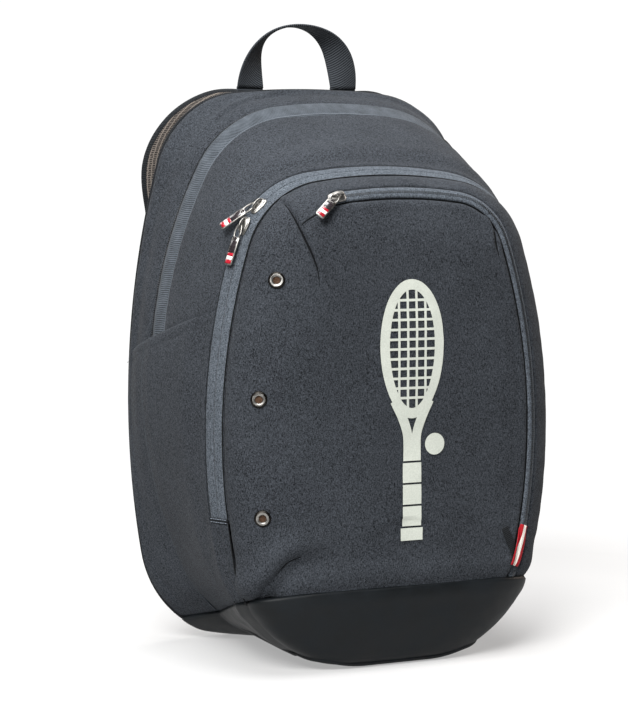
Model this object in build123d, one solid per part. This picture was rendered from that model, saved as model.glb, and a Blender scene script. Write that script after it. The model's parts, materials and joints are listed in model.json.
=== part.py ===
"""Racket backpack: soft shell on a coated boot, two zipped compartments, side pockets and harness.

Frame: millimetres, +Z up, +X to the right of someone facing the front, front towards -Y,
wearer's side towards +Y. The origin is on the floor, under the middle of the base.
"""
from build123d import *
from math import atan2, cos, hypot, radians, sin, sqrt
import os

# ---------------------------------------------------------------- driving dimensions
# Each outline is a mirror-symmetric chain of tangent arcs, seen from the front.
BACK = dict(half_width=170.0, top=480.0, widest=210.0, crown=740.0, side=780.0, corner=81.0, foot=96.0)
ZIP = dict(half_width=168.0, top=467.5, widest=234.0, crown=418.0, side=395.0, corner=94.0, foot=115.0)
POCKET = dict(half_width=156.5, top=414.0, widest=195.0, crown=420.0, side=520.0, corner=82.0, foot=120.0)
SMALL = dict(half_width=125.5, top=396.5, widest=195.0, crown=402.5, side=489.0, corner=55.0, foot=89.0)

WALL = 2.5                 # fabric, foam and lining together
Y_BACK = 96.0              # outer face of the back panel
Y_BACK_SEAM = 92.0
Y_ZIP_REAR = 54.0
Y_ZIP_FRONT = 42.0
Y_POCKET_REAR = -45.0
Y_POCKET_FRONT = -64.0
ZIP_GAP = 0.8              # between the two rows of zip elements
PANEL_INSET = 8.0          # the front pocket's zip tapers in by this much

# Front panel dome: inset from the pocket outline, depth y, height of the lowest point.
DOME = [(8.0, -64.0, 0.0), (11.0, -74.0, 1.5), (18.0, -84.0, 7.0),
        (30.0, -92.0, 18.0), (50.0, -97.0, 38.0), (78.0, -99.0, 66.0)]

BOOT_FRONT = (-99.5, 69.7)     # y, z of the boot's top seam at the front
BOOT_BACK = (96.0, 19.0)       # and at the back
POCKET_TOP_FRONT = (-45.0, 298.0)
POCKET_TOP_BACK = (92.0, 255.0)
SEAM_GAP = 0.4

POCKET_BULGE = 10.5            # how far a side pocket's sheet stands off the pack
POCKET_CLEAR = 0.5
POCKET_SPLIT = (40.0, 50.0)    # a side pocket's front sheet ends and its rear sheet starts, either side of the zip
SLEEVE_HALF, SLEEVE_LOW, SLEEVE_HIGH = 118.0, 75.0, 330.0
Y_SLEEVE = (50.8, 54.8)
Y_RACKET_DIVIDER = (61.0, 63.0)
Y_FRONT_DIVIDER = (-44.5, -42.5)
WEBBING = 25.0
WEBBING_THICK = 1.2
PULL_LENGTH = 34.0
SHORT_PULL = 28.0
UPPER_SLIDER_ANGLE = 137.5     # places of the sliders on their arcs, in degrees
LOWER_SLIDER_RISE = 1.6
SMALL_SLIDER_ANGLE = 98.5
MAIN_SLIDER_ANGLES = (42.0, 24.5)
SMALL_ZIP_WIDTH = 9.0
SMALL_ZIP_PROUD = 1.5
EYELET_HEIGHTS = (323.0, 228.0, 132.0)
EYELET_INSET = 27.0
BIG = 700.0


# ---------------------------------------------------------------- outlines and lofts
def outline_arcs(shape, inset=0.0, floor=None):
    """Centres, radii and joint angles of one outline's right half, from the crown down."""
    floor = inset if floor is None else floor
    crown = shape["crown"] - inset
    side = shape["side"] - inset
    corner = shape["corner"] - inset
    foot = shape["foot"] - inset
    crown_c = (0.0, shape["top"] - shape["crown"])
    side_c = (shape["half_width"] - shape["side"], shape["widest"])
    span = hypot(side_c[0] - crown_c[0], side_c[1] - crown_c[1])
    near, far = crown - corner, side - corner
    along = (near ** 2 - far ** 2 + span ** 2) / (2 * span)
    off = sqrt(near ** 2 - along ** 2)
    ux, uz = (side_c[0] - crown_c[0]) / span, (side_c[1] - crown_c[1]) / span
    options = [(crown_c[0] + along * ux - s * off * uz, crown_c[1] + along * uz + s * off * ux) for s in (1, -1)]
    corner_c = max(options, key=sum)
    foot_z = floor + foot
    foot_c = (side_c[0] + sqrt((side - foot) ** 2 - (side_c[1] - foot_z) ** 2), foot_z)
    top_angle = atan2(corner_c[1] - crown_c[1], corner_c[0] - crown_c[0])
    mid_angle = atan2(corner_c[1] - side_c[1], corner_c[0] - side_c[0])
    low_angle = atan2(foot_c[1] - side_c[1], foot_c[0] - side_c[0])
    return dict(crown=(crown_c, crown), corner=(corner_c, corner), side=(side_c, side), foot=(foot_c, foot),
                top_angle=top_angle, mid_angle=mid_angle, low_angle=low_angle)


def outline_wire(shape, y, inset=0.0, floor=None):
    """The closed outline at depth y, as eight arcs and one straight bottom edge."""
    arcs = outline_arcs(shape, inset, floor)
    right = [("foot", -radians(90), arcs["low_angle"]), ("side", arcs["low_angle"], arcs["mid_angle"]),
             ("corner", arcs["mid_angle"], arcs["top_angle"]), ("crown", arcs["top_angle"], radians(90))]

    def point(name, angle, mirror):
        (cx, cz), r = arcs[name]
        return (mirror * (cx + r * cos(angle)), y, cz + r * sin(angle))

    def arc(name, a, b, mirror):
        return ThreePointArc(point(name, a, mirror), point(name, (a + b) / 2, mirror), point(name, b, mirror))

    edges = [arc(name, a, b, 1) for name, a, b in right]
    edges += [arc(name, b, a, -1) for name, a, b in reversed(right)]
    edges.append(Line(point("foot", -radians(90), -1), point("foot", -radians(90), 1)))
    return Wire([e.edge() for e in edges])


def loft_through(stations, grow=0.0):
    """Ruled loft through (shape, y, inset, floor) stations; grow moves every wall inward."""
    wires = [outline_wire(shape, y, inset + grow, floor + grow) for shape, y, inset, floor in stations]
    return Solid.make_loft(wires, ruled=True)


def between(a, b, share):
    """An outline part of the way from a to b."""
    return {key: a[key] + (b[key] - a[key]) * share for key in a}


def ring(stations, outer=0.0, wall=WALL):
    return loft_through(stations, outer) - loft_through(stations, outer + wall)


def slope(front, back):
    return atan2(front[1] - back[1], back[0] - front[0])


def half_space(front, back, above, lift=0.0):
    """A large block above or below the sloped plane through two (y, z) points."""
    tilt = slope(front, back)
    plane = Plane(origin=(0, front[0], front[1] + lift), x_dir=(1, 0, 0), z_dir=(0, sin(tilt), cos(tilt)))
    end = Align.MIN if above else Align.MAX
    return plane * Box(BIG, 2 * BIG, BIG, align=(Align.CENTER, Align.CENTER, end))


def slab(x0, x1, y0, y1, z0, z1):
    return Pos((x0 + x1) / 2, (y0 + y1) / 2, (z0 + z1) / 2) * Box(x1 - x0, y1 - y0, z1 - z0)


def save(node, solid):
    export_step(Compound(label=node, children=solid.solids()), f"parts/{node}.step")


REAR_STATIONS = [(BACK, Y_BACK_SEAM, 0.0, 0.0), (ZIP, Y_ZIP_REAR, 0.0, 0.0)]
GUSSET_STATIONS = [(ZIP, Y_ZIP_FRONT, 0.0, 0.0), (POCKET, Y_POCKET_REAR, 0.0, 0.0)]
DOME_STATIONS = [(POCKET, y, inset, floor) for inset, y, floor in DOME]
above_boot = half_space(BOOT_FRONT, BOOT_BACK, True, SEAM_GAP)
below_boot = half_space(BOOT_FRONT, BOOT_BACK, False)
below_pocket_top = half_space(POCKET_TOP_FRONT, POCKET_TOP_BACK, False)


# ---------------------------------------------------------------- shell of the pack
def make_boot():
    stations = [(BACK, Y_BACK, 0.0, 0.0)] + REAR_STATIONS + GUSSET_STATIONS + DOME_STATIONS
    hollow = [(BACK, Y_BACK_SEAM, 0.0, 0.0), (ZIP, Y_ZIP_REAR, 0.0, 0.0)] + GUSSET_STATIONS
    hollow += [(POCKET, y + WALL, inset, floor) for inset, y, floor in DOME]
    return (loft_through(stations) & below_boot) - loft_through(hollow, WALL)


def make_back_panel():
    plate = loft_through([(BACK, Y_BACK, 0.0, 0.0), (BACK, Y_BACK_SEAM, 0.0, 0.0)])
    return plate & above_boot


def cone_inset(y):
    """Inset of the front pocket's zip band at depth y."""
    return PANEL_INSET * (Y_POCKET_REAR - y) / (Y_POCKET_REAR - Y_POCKET_FRONT)


def zip_half(shape, y_seam, y_teeth, taper=False):
    """One tape with its row of elements, standing proud beside the slit."""
    toward = 1 if y_seam > y_teeth else -1
    y_row = y_teeth + 2.2 * toward
    inset = cone_inset if taper else (lambda y: 0.0)
    tape = ring([(shape, y, inset(y), 0.0) for y in (y_seam, y_teeth)], 0.6, 1.2)
    row = ring([(shape, y, inset(y), 0.0) for y in (y_row, y_teeth)], -0.2, 2.2)
    return (tape + row) & above_boot


def make_front_panel():
    hollow = [(POCKET, y + WALL, inset + WALL, floor + WALL) for inset, y, floor in DOME]
    shell = loft_through(DOME_STATIONS) - loft_through(hollow)
    shell = shell & above_boot
    for z in EYELET_HEIGHTS:
        shell -= eyelet_plane(z) * Cylinder(4.0, 30)
    return shell


def dome_depth(inset):
    """y of the front panel's surface at an inset from the pocket outline."""
    for (i0, y0, _), (i1, y1, _) in zip(DOME, DOME[1:]):
        if inset <= i1:
            return y0 + (y1 - y0) * (inset - i0) / (i1 - i0)
    return DOME[-1][1]


def dome_lean(inset):
    """Angle between the front panel's outward normal and -Y at an inset, in radians."""
    for (i0, y0, _), (i1, y1, _) in zip(DOME, DOME[1:]):
        if inset <= i1:
            return atan2(y0 - y1, i1 - i0)
    return 0.0


def eyelet_plane(z):
    """Plane on the left side of the front panel, its z axis along the outward normal."""
    arcs = outline_arcs(POCKET)
    (cx, cz), r = arcs["side"]
    angle = atan2(z - cz, sqrt((r - EYELET_INSET) ** 2 - (z - cz) ** 2))
    x = -(cx + (r - EYELET_INSET) * cos(angle))
    lean = dome_lean(EYELET_INSET)
    normal = (-sin(lean) * cos(angle), -cos(lean), sin(lean) * sin(angle))
    return Plane(origin=(x, dome_depth(EYELET_INSET), z), x_dir=(0, -normal[2], normal[1]), z_dir=normal)


def make_eyelets():
    """Three two-part eyelets: a flange outside, a washer inside and a barrel between them."""
    rings = []
    for z in EYELET_HEIGHTS:
        plane = eyelet_plane(z)
        outside = Pos(0, 0, 1.3) * Cylinder(6.8, 1.2)
        barrel = Pos(0, 0, -1.7) * Cylinder(3.5, 6.0)
        washer = Pos(0, 0, -4.6) * Cylinder(6.5, 0.8)
        rings.append(plane * (outside + barrel + washer - Cylinder(2.9, 20)))
    return rings


def make_small_zip():
    """Zip of the flat pocket on the front panel: across the top and down the right side."""
    skin = [(POCKET, y - 1.2, max(inset - 0.8, 0.0), max(floor - 0.8, 0.0)) for inset, y, floor in DOME]
    core = [(POCKET, y - 0.2, inset - 0.1, floor) for inset, y, floor in DOME]
    shell = loft_through(skin) - loft_through(core)
    band = loft_through([(SMALL, -60.0, 0.0, 0.0), (SMALL, -110.0, 0.0, 0.0)])
    band -= loft_through([(SMALL, y, SMALL_ZIP_WIDTH, SMALL_ZIP_WIDTH) for y in (-59.0, -111.0)])
    strip = shell & band & half_space((-99.0, 86.0), (0.0, 86.0), True)
    return strip & slab(-62.0, BIG, -110.0, -66.0, 0.0, BIG)


def make_tag():
    """Folded woven tag sewn beside the small zip's lower end."""
    return Pos(106.0, -98.6, 88.0) * Rot(0, 12, 20) * Box(15.0, 1.6, 26.0)


def make_divider(shape, y0, y1, inset):
    plate = loft_through([(shape, y1, inset, inset), (shape, y0, inset, inset)])
    return plate & above_boot


def side_pocket(side, low, high, skin, wall, rear_part):
    """Bulged pocket sheet on one side, between two sloped blocks, ahead of the main zip or behind it."""
    front, rear = Y_POCKET_REAR + 0.3, Y_BACK_SEAM - 3.0
    depths = [(front, 0.8), (-28.0, 6.5), (20.0, POCKET_BULGE), (74.0, POCKET_BULGE), (rear, 3.0)]
    shapes = []
    for y, bulge in depths:
        if y < Y_ZIP_FRONT:
            shape = between(ZIP, POCKET, (Y_ZIP_FRONT - y) / (Y_ZIP_FRONT - Y_POCKET_REAR))
        else:
            shape = between(ZIP, BACK, (y - Y_ZIP_REAR) / (Y_BACK_SEAM - Y_ZIP_REAR))
        shapes.append((shape, y, bulge))
    outer = loft_through([(shape, y, -bulge - skin, 0.0) for shape, y, bulge in shapes])
    hollow = [(shape, y, min(wall - bulge, -POCKET_CLEAR), 0.0) for shape, y, bulge in shapes]
    hollow[0] = (shapes[0][0], front - 1.0, -POCKET_CLEAR, 0.0)
    hollow[-1] = (shapes[-1][0], rear + 1.0, -POCKET_CLEAR, 0.0)
    sheet = (outer - loft_through(hollow)) & low & high
    y0, y1 = (POCKET_SPLIT[1], BIG) if rear_part else (-BIG, POCKET_SPLIT[0])
    half = slab(90.0, BIG, y0, y1, 0.0, BIG) if side > 0 else slab(-BIG, -90.0, y0, y1, 0.0, BIG)
    return sheet & half


# ---------------------------------------------------------------- sliders and pulls
def slider(plane, skew=0.0, both_rows=False):
    """Slider body over the fixed row, or over both rows, with a bridge; x is along the zip."""
    body = slab(-6.5, 6.5, -5.2, 5.2 if both_rows else 0.0, 0.5, 2.6)
    bridge = Box(9.0, 2.6, 4.6) - Pos(0, 0, -0.6) * Box(5.4, 4.0, 2.6)
    centre = 0.0 if both_rows else -2.6
    return plane * (body + Pos(0, centre, 4.3) * Rot(0, 0, skew) * bridge)


def pull(plane, skew=0.0, length=PULL_LENGTH, centre=-2.6):
    """Wire link through the bridge and an enamelled tab; it swings about the link's top bar."""
    link_bar = Rot(90, 0, 0) * Cylinder(0.7, 8.0)
    links = [Pos(5.0, s * 3.4, 0) * Box(11.5, 1.2, 1.4) for s in (-1, 1)]
    tab = slab(10.0, length, -4.0, 4.0, -0.7, 0.7) - slab(11.0, 13.5, -2.0, 2.0, -2.0, 2.0)
    whole = link_bar + links[0] + links[1] + tab
    return plane * Pos(0, centre, 3.9) * Rot(0, 0, skew) * whole


def zip_plane(centre, radius, angle, y, lean):
    """Plane on a zip band: x down the band on the left side, z outward, y towards the front."""
    (cx, cz), r = centre, radius
    normal = (cos(angle) * cos(lean), -sin(lean), sin(angle) * cos(lean))
    return Plane(origin=(cx + r * cos(angle), y, cz + r * sin(angle)), x_dir=(-sin(angle), 0, cos(angle)), z_dir=normal)


def mirrored(centre):
    return (-centre[0], centre[1])


def zip_pull_places():
    """Name, plane, pull direction and pull length of every slider."""
    slit = (Y_POCKET_REAR + Y_POCKET_FRONT) / 2 + ZIP_GAP / 2
    lean = atan2(PANEL_INSET, Y_POCKET_REAR - Y_POCKET_FRONT)
    arcs = outline_arcs(POCKET, cone_inset(slit))
    corner_c, corner_r = arcs["corner"]
    side_c, side_r = arcs["side"]
    junction = radians(180.0) - arcs["mid_angle"]
    upper = zip_plane(mirrored(corner_c), corner_r, radians(UPPER_SLIDER_ANGLE), slit, lean)
    lower = zip_plane(mirrored(side_c), side_r, junction - radians(LOWER_SLIDER_RISE), slit, lean)

    crown_c, crown_r = outline_arcs(SMALL, SMALL_ZIP_WIDTH / 2)["crown"]
    angle = radians(SMALL_SLIDER_ANGLE)
    inset = POCKET["top"] - SMALL["top"] + SMALL_ZIP_WIDTH / 2
    lift = dome_lean(inset)
    normal = Vector(cos(angle) * sin(lift), -cos(lift), sin(angle) * sin(lift))
    spot = Vector(crown_c[0] + crown_r * cos(angle), dome_depth(inset), crown_c[1] + crown_r * sin(angle))
    small = Plane(origin=spot + normal * SMALL_ZIP_PROUD, x_dir=(-sin(angle), 0, cos(angle)), z_dir=normal)

    middle = (Y_ZIP_REAR + Y_ZIP_FRONT) / 2 + ZIP_GAP / 2
    arcs = outline_arcs(ZIP)
    main_high = zip_plane(*arcs["corner"], radians(MAIN_SLIDER_ANGLES[0]), middle, 0.0)
    main_low = zip_plane(*arcs["side"], radians(MAIN_SLIDER_ANGLES[1]), middle, 0.0)
    return [("front_slider_upper", upper, -25.0, PULL_LENGTH), ("front_slider_lower", lower, 0.0, PULL_LENGTH),
            ("pocket_slider", small, 35.0, SHORT_PULL), ("main_slider_upper", main_high, 180.0, SHORT_PULL),
            ("main_slider_lower", main_low, 180.0, SHORT_PULL)]


# ---------------------------------------------------------------- harness
def strap_loft(points, widths, thickness):
    """A flat strap as a ruled loft of rounded sections square to its path."""
    wires = []
    for i, p in enumerate(points):
        a, b = points[max(i - 1, 0)], points[min(i + 1, len(points) - 1)]
        tangent = (Vector(*b) - Vector(*a)).normalized()
        across = tangent.cross(Vector(0, 1, 0)).normalized()
        edge = thickness * 0.35
        section = Plane(origin=p, x_dir=across, z_dir=tangent) * RectangleRounded(widths[i], thickness, edge)
        wires.append(section.wire())
    return Solid.make_loft(wires, ruled=True)


STRAP_PATH = [(50, 112, 452), (78, 120, 452), (106, 126, 434), (122, 131, 400), (121, 133, 355),
              (111, 131, 305), (104, 126, 255), (104, 120, 215)]
STRAP_WIDTHS = [58, 62, 66, 66, 66, 62, 54, 44]
STRAP_THICK = 11.0
LOCK_CENTRE = (105.0, 117.0, 196.0)
LOWER_ANCHOR = (128.0, 100.0, 62.0)


def flipped(points, side):
    return [(side * x, y, z) for x, y, z in points]


def make_ladder_lock(side):
    """Plastic ladder lock: a frame with two slots."""
    slots = [Pos(0, 0, z) * Box(WEBBING + 2, 8.0, 4.5) for z in (5.5, -4.5)]
    frame = Box(36.0, 5.0, 24.0) - slots[0] - slots[1]
    return Pos(side * LOCK_CENTRE[0], LOCK_CENTRE[1], LOCK_CENTRE[2]) * frame


def make_lock_loop(side):
    """Short webbing loop that ties the ladder lock's top bar to the end of the strap."""
    x, y, z = LOCK_CENTRE
    loop = Box(WEBBING, 9.0, 12.0) - Box(WEBBING + 2, 6.2, 9.2)
    return Pos(side * x, y, z + 10.8) * loop


def make_strap_webbing(side):
    """Lower webbing from the anchor up round the lock's middle bar, with its hanging tail."""
    x, y, z = LOCK_CENTRE
    wrap = slab(x - WEBBING / 2, x + WEBBING / 2, y - 4.6, y + 4.6, z + 3.35, z + 4.5)
    inner = slab(x - WEBBING / 2, x + WEBBING / 2, y - 4.6, y - 3.4, z - 12.0, z + 4.5)
    tail = slab(x - WEBBING / 2, x + WEBBING / 2, y + 3.4, y + 4.6, z - 92.0, z + 4.5)
    low = Vector(LOWER_ANCHOR[0], LOWER_ANCHOR[1] + 3.0, LOWER_ANCHOR[2])
    high = Vector(x, y - 4.0, z - 11.0)
    along = (high - low).normalized()
    across = along.cross(Vector(0, 1, 0)).normalized()
    lower = Plane(origin=low, x_dir=across, z_dir=along) * Box(
        WEBBING, WEBBING_THICK, (high - low).length, align=(Align.CENTER, Align.CENTER, Align.MIN))
    whole = wrap + inner + tail + lower
    return whole if side > 0 else mirror(whole, Plane.YZ)


def make_anchor(side):
    """Triangular wing sewn into the side seam that holds the strap's lower webbing."""
    x, _, z = LOWER_ANCHOR
    tri = Polyline((x - 6, Y_BACK + 0.1, z - 20), (x + 26, Y_BACK + 0.1, z - 14), (x + 4, Y_BACK + 0.1, z + 14),
                   (x - 14, Y_BACK + 0.1, z + 8), close=True)
    wing = extrude(Face(Wire(tri.edges())), 2.4, dir=(0, 1, 0))
    return wing if side > 0 else mirror(wing, Plane.YZ)


HANDLE_X = -8.0
HANDLE_HALF = 45.0
HANDLE_FOOT_Z = 482.0
HANDLE_RISE = 55.0
HANDLE_Y = 99.0


def make_handle():
    """Twisted webbing loop: flat against the back at its feet, flat side up at the top."""
    wires = []
    steps = 8
    for i in range(steps + 1):
        u = i / steps
        turn = radians(180 * (1 - u))
        x = HANDLE_X + HANDLE_HALF * cos(turn)
        z = HANDLE_FOOT_Z + HANDLE_RISE * sin(turn)
        tangent = Vector(HANDLE_HALF * sin(turn), 0, -HANDLE_RISE * cos(turn)).normalized()
        flat = Vector(0, 1, 0).cross(tangent)
        twist = radians(90) * sin(turn)
        across = flat * cos(twist) + Vector(0, 1, 0) * sin(twist)
        section = Plane(origin=(x, HANDLE_Y, z), x_dir=across, z_dir=tangent) * Rectangle(WEBBING - 2, 2.6)
        wires.append(section.wire())
    return Solid.make_loft(wires, ruled=True)


# ---------------------------------------------------------------- write the parts
def main():
    os.makedirs("parts", exist_ok=True)
    save("boot", make_boot())
    save("base_board", slab(-30.0, 30.0, -50.0, 82.0, WALL + 0.2, WALL + 2.2))
    save("back_panel", make_back_panel())
    save("rear_gusset", ring(REAR_STATIONS) & above_boot)
    save("main_gusset", ring(GUSSET_STATIONS) & above_boot)
    save("racket_divider", make_divider(ZIP, *Y_RACKET_DIVIDER, 3.2))
    save("laptop_sleeve", slab(-SLEEVE_HALF, SLEEVE_HALF, *Y_SLEEVE, SLEEVE_LOW, SLEEVE_HIGH))
    save("front_divider", make_divider(POCKET, *Y_FRONT_DIVIDER, 4.0))
    save("organizer_pocket", slab(-92.0, 92.0, -50.0, -48.0, 90.0, 255.0))
    middle = (Y_ZIP_REAR + Y_ZIP_FRONT) / 2
    save("main_zip_rear_half", zip_half(ZIP, Y_ZIP_REAR, middle + ZIP_GAP / 2))
    save("main_zip_front_half", zip_half(ZIP, Y_ZIP_FRONT, middle - ZIP_GAP / 2))
    slit = (Y_POCKET_REAR + Y_POCKET_FRONT) / 2
    save("front_zip_rear_half", zip_half(POCKET, Y_POCKET_REAR, slit + ZIP_GAP / 2, True))
    save("front_zip_front_half", zip_half(POCKET, Y_POCKET_FRONT, slit - ZIP_GAP / 2, True))
    save("front_panel", make_front_panel())
    save("eyelets", Compound(children=[s for e in make_eyelets() for s in e.solids()]))
    save("small_pocket_zip", make_small_zip())
    save("side_tag", make_tag())
    bind_low = half_space(POCKET_TOP_FRONT, POCKET_TOP_BACK, True, -10.0)
    sheet_high = half_space(POCKET_TOP_FRONT, POCKET_TOP_BACK, False, -10.0)
    for side, name in ((-1, "left"), (1, "right")):
        save(f"{name}_side_pocket", side_pocket(side, above_boot, sheet_high, 0.0, 1.6, False))
        save(f"{name}_pocket_binding", side_pocket(side, bind_low, below_pocket_top, 0.5, 1.9, False))
        save(f"{name}_pocket_rear", side_pocket(side, above_boot, sheet_high, 0.0, 1.6, True))
        save(f"{name}_binding_rear", side_pocket(side, bind_low, below_pocket_top, 0.5, 1.9, True))

    for name, plane, skew, length in zip_pull_places():
        both = name == "pocket_slider"
        save(name, slider(plane, skew, both))
        save(name.replace("slider", "pull"), pull(plane, skew, length, 0.0 if both else -2.6))

    save("strap_yoke", slab(-80.0, 80.0, Y_BACK + 0.1, Y_BACK + 2.6, 428.0, 466.0))
    save("haul_loop", make_handle())
    feet = [slab(x - 11.5, x + 11.5, Y_BACK + 2.7, Y_BACK + 5.0, 444.0, 480.5)
            for x in (HANDLE_X - HANDLE_HALF, HANDLE_X + HANDLE_HALF)]
    save("haul_loop_feet", Compound(children=[s for f in feet for s in f.solids()]))
    for side, name in ((-1, "left"), (1, "right")):
        save(f"{name}_strap_pad", strap_loft(flipped(STRAP_PATH, side), STRAP_WIDTHS, STRAP_THICK))
        save(f"{name}_ladder_lock", make_ladder_lock(side))
        save(f"{name}_lock_loop", make_lock_loop(side))
        save(f"{name}_strap_webbing", make_strap_webbing(side))
        save(f"{name}_strap_anchor", make_anchor(side))
        inner, outer = (20.0, 92.0)
        x0, x1 = (inner, outer) if side > 0 else (-outer, -inner)
        save(f"{name}_back_pad", slab(x0, x1, Y_BACK + 0.1, Y_BACK + 8.0, 160.0, 410.0))
    save("lumbar_pad", slab(-95.0, 95.0, Y_BACK + 0.1, Y_BACK + 9.0, 62.0, 148.0))


main()
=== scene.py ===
"""Looks of the racket backpack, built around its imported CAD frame.

Shapes are worked out in millimetres in the frame's own axes (+Z up, front towards -Y, wearer
towards +Y) and scaled to metres when a mesh is made. Every wall follows the same outlines as
the CAD: mirror-symmetric chains of tangent arcs, joined from back to front.
"""
import json
import math
import bmesh
import bpy
import numpy as np
from mathutils import Matrix, Vector


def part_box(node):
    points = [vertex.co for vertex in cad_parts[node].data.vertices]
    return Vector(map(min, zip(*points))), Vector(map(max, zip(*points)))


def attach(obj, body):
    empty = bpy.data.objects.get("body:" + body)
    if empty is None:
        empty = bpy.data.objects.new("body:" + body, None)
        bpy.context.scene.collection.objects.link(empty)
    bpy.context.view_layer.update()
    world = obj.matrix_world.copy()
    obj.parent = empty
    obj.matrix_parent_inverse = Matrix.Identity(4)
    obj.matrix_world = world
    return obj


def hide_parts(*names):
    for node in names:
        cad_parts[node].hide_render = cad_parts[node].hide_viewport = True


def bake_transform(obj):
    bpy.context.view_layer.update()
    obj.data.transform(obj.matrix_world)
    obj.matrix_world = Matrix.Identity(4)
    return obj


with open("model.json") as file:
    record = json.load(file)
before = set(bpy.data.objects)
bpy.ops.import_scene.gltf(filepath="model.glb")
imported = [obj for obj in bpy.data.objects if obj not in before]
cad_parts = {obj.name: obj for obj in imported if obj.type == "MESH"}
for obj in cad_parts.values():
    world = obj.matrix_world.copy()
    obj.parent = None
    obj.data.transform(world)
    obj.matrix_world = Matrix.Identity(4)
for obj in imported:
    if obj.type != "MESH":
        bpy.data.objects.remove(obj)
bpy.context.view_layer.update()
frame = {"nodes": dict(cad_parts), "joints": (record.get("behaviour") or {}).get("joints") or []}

MM = 0.001
CORE = np.array((0.0, 0.0, 230.0))      # a point well inside the pack


def low_high(node):
    """Lowest and highest corners of a CAD node, in millimetres."""
    low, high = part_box(node)
    return np.array(low) / MM, np.array(high) / MM


# ---------------------------------------------------------------- sizes taken from the frame
back_low, back_high = low_high("back_panel")
zip_high = low_high("main_gusset")[1]
panel_low, panel_high = low_high("front_panel")
PANEL_INSET = 8.0          # the front pocket's zip tapers in by this much
BACK = dict(half_width=back_high[0], top=back_high[2], widest=210.0,
            crown=740.0, side=780.0, corner=81.0, foot=96.0)
ZIP = dict(half_width=zip_high[0], top=zip_high[2], widest=234.0,
           crown=418.0, side=395.0, corner=94.0, foot=115.0)
POCKET = dict(half_width=panel_high[0] + PANEL_INSET, top=panel_high[2] + PANEL_INSET, widest=195.0,
              crown=420.0, side=520.0, corner=82.0, foot=120.0)
SMALL = dict(half_width=125.5, top=396.5, widest=195.0, crown=402.5, side=489.0, corner=55.0, foot=89.0)
Y_BACK, Y_SEAM = back_high[1], back_low[1]
Y_ZIP_REAR = low_high("main_zip_rear_half")[1][1]
Y_ZIP_FRONT = low_high("main_zip_front_half")[0][1]
Y_MAIN_SLIT = (Y_ZIP_REAR + Y_ZIP_FRONT) / 2
Y_POCKET_REAR = low_high("front_zip_rear_half")[1][1]
Y_POCKET_FRONT = low_high("front_zip_front_half")[0][1]
Y_POCKET_SLIT = (Y_POCKET_REAR + Y_POCKET_FRONT) / 2
Y_FRONT = panel_low[1]
BOOT_FRONT_Z = low_high("boot")[1][2]
BOOT_BACK_Z = 19.0
POCKET_TOP_FRONT = (-45.0, 298.0)       # y, z of a side pocket's top edge
POCKET_TOP_BACK = (92.0, 255.0)
DOME_WIDTH = 70.0                       # the front panel curls forward over this inset
DOME_ROUND = 2.2                        # power of the curl's superellipse
# ends of crown, corner, side, foot and base, as shares of half way round
SHARES = (0.0, 0.22, 0.36, 0.80, 0.93, 1.0)
SLIT = 0.5                              # half the gap between a zip's two rows
MEET = 0.12                             # half the gap between two tapes that meet over their coils


def on_line(y, front, back):
    """Height at depth y of the straight line through two (y, z) points."""
    return front[1] + (back[1] - front[1]) * (y - front[0]) / (back[0] - front[0])


def boot_top(y):
    """Height of the boot's hem at depth y."""
    return on_line(y, (Y_FRONT - 0.5, BOOT_FRONT_Z), (Y_BACK, BOOT_BACK_Z))


def pocket_top(y):
    """Height of a side pocket's top edge at depth y."""
    return on_line(y, POCKET_TOP_FRONT, POCKET_TOP_BACK)


# ---------------------------------------------------------------- outlines and walls
def arcs_of(shape, inset=0.0, floor=0.0):
    """Centres, radii and end angles of the arcs from the crown to the foot."""
    top_z = shape["top"] - shape["crown"]
    side_x, side_z = shape["half_width"] - shape["side"], shape["widest"]
    span = math.hypot(side_x, side_z - top_z)
    near, far = shape["crown"] - shape["corner"], shape["side"] - shape["corner"]
    along = (near ** 2 - far ** 2 + span ** 2) / (2 * span)
    off = math.sqrt(near ** 2 - along ** 2)
    ux, uz = side_x / span, (side_z - top_z) / span
    options = [(along * ux - s * off * uz, top_z + along * uz + s * off * ux) for s in (1, -1)]
    corner_x, corner_z = max(options, key=sum)
    foot_z = floor + shape["foot"] - inset
    reach = shape["side"] - shape["foot"]
    foot_x = side_x + np.sqrt(reach ** 2 - (side_z - foot_z) ** 2)
    angles = [math.pi / 2, math.atan2(corner_z - top_z, corner_x),
              math.atan2(corner_z - side_z, corner_x - side_x),
              np.arctan2(foot_z - side_z, foot_x - side_x), -math.pi / 2]
    centres = [(0.0, top_z), (corner_x, corner_z), (side_x, side_z), (foot_x, foot_z)]
    radii = [shape[name] - inset for name in ("crown", "corner", "side", "foot")]
    return centres, radii, angles


def outline(shape, t, inset=0.0, floor=0.0):
    """x and z round an outline: t is 0 at the top centre and -1 or 1 at the middle of the base."""
    t, inset, floor = np.broadcast_arrays(np.asarray(t, float), inset, floor)
    centres, radii, angles = arcs_of(shape, inset, floor)
    u = np.abs(t)
    x = np.zeros(t.shape)
    z = np.zeros(t.shape)
    for k in range(4):
        share = (u - SHARES[k]) / (SHARES[k + 1] - SHARES[k])
        angle = angles[k] + (angles[k + 1] - angles[k]) * share
        on = (u >= SHARES[k]) & (u < SHARES[k + 1])
        x = np.where(on, centres[k][0] + radii[k] * np.cos(angle), x)
        z = np.where(on, centres[k][1] + radii[k] * np.sin(angle), z)
    flat = u >= SHARES[4]
    x = np.where(flat, centres[3][0] * (1 - u) / (1 - SHARES[4]), x)
    z = np.where(flat, floor, z)
    return x * np.sign(t), z


STATIONS = [(BACK, Y_BACK, 0.0), (BACK, Y_SEAM, 0.0), (ZIP, Y_ZIP_REAR, 0.0), (ZIP, Y_ZIP_FRONT, 0.0),
            (POCKET, Y_POCKET_REAR, 0.0), (POCKET, Y_POCKET_FRONT, PANEL_INSET)]


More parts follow.
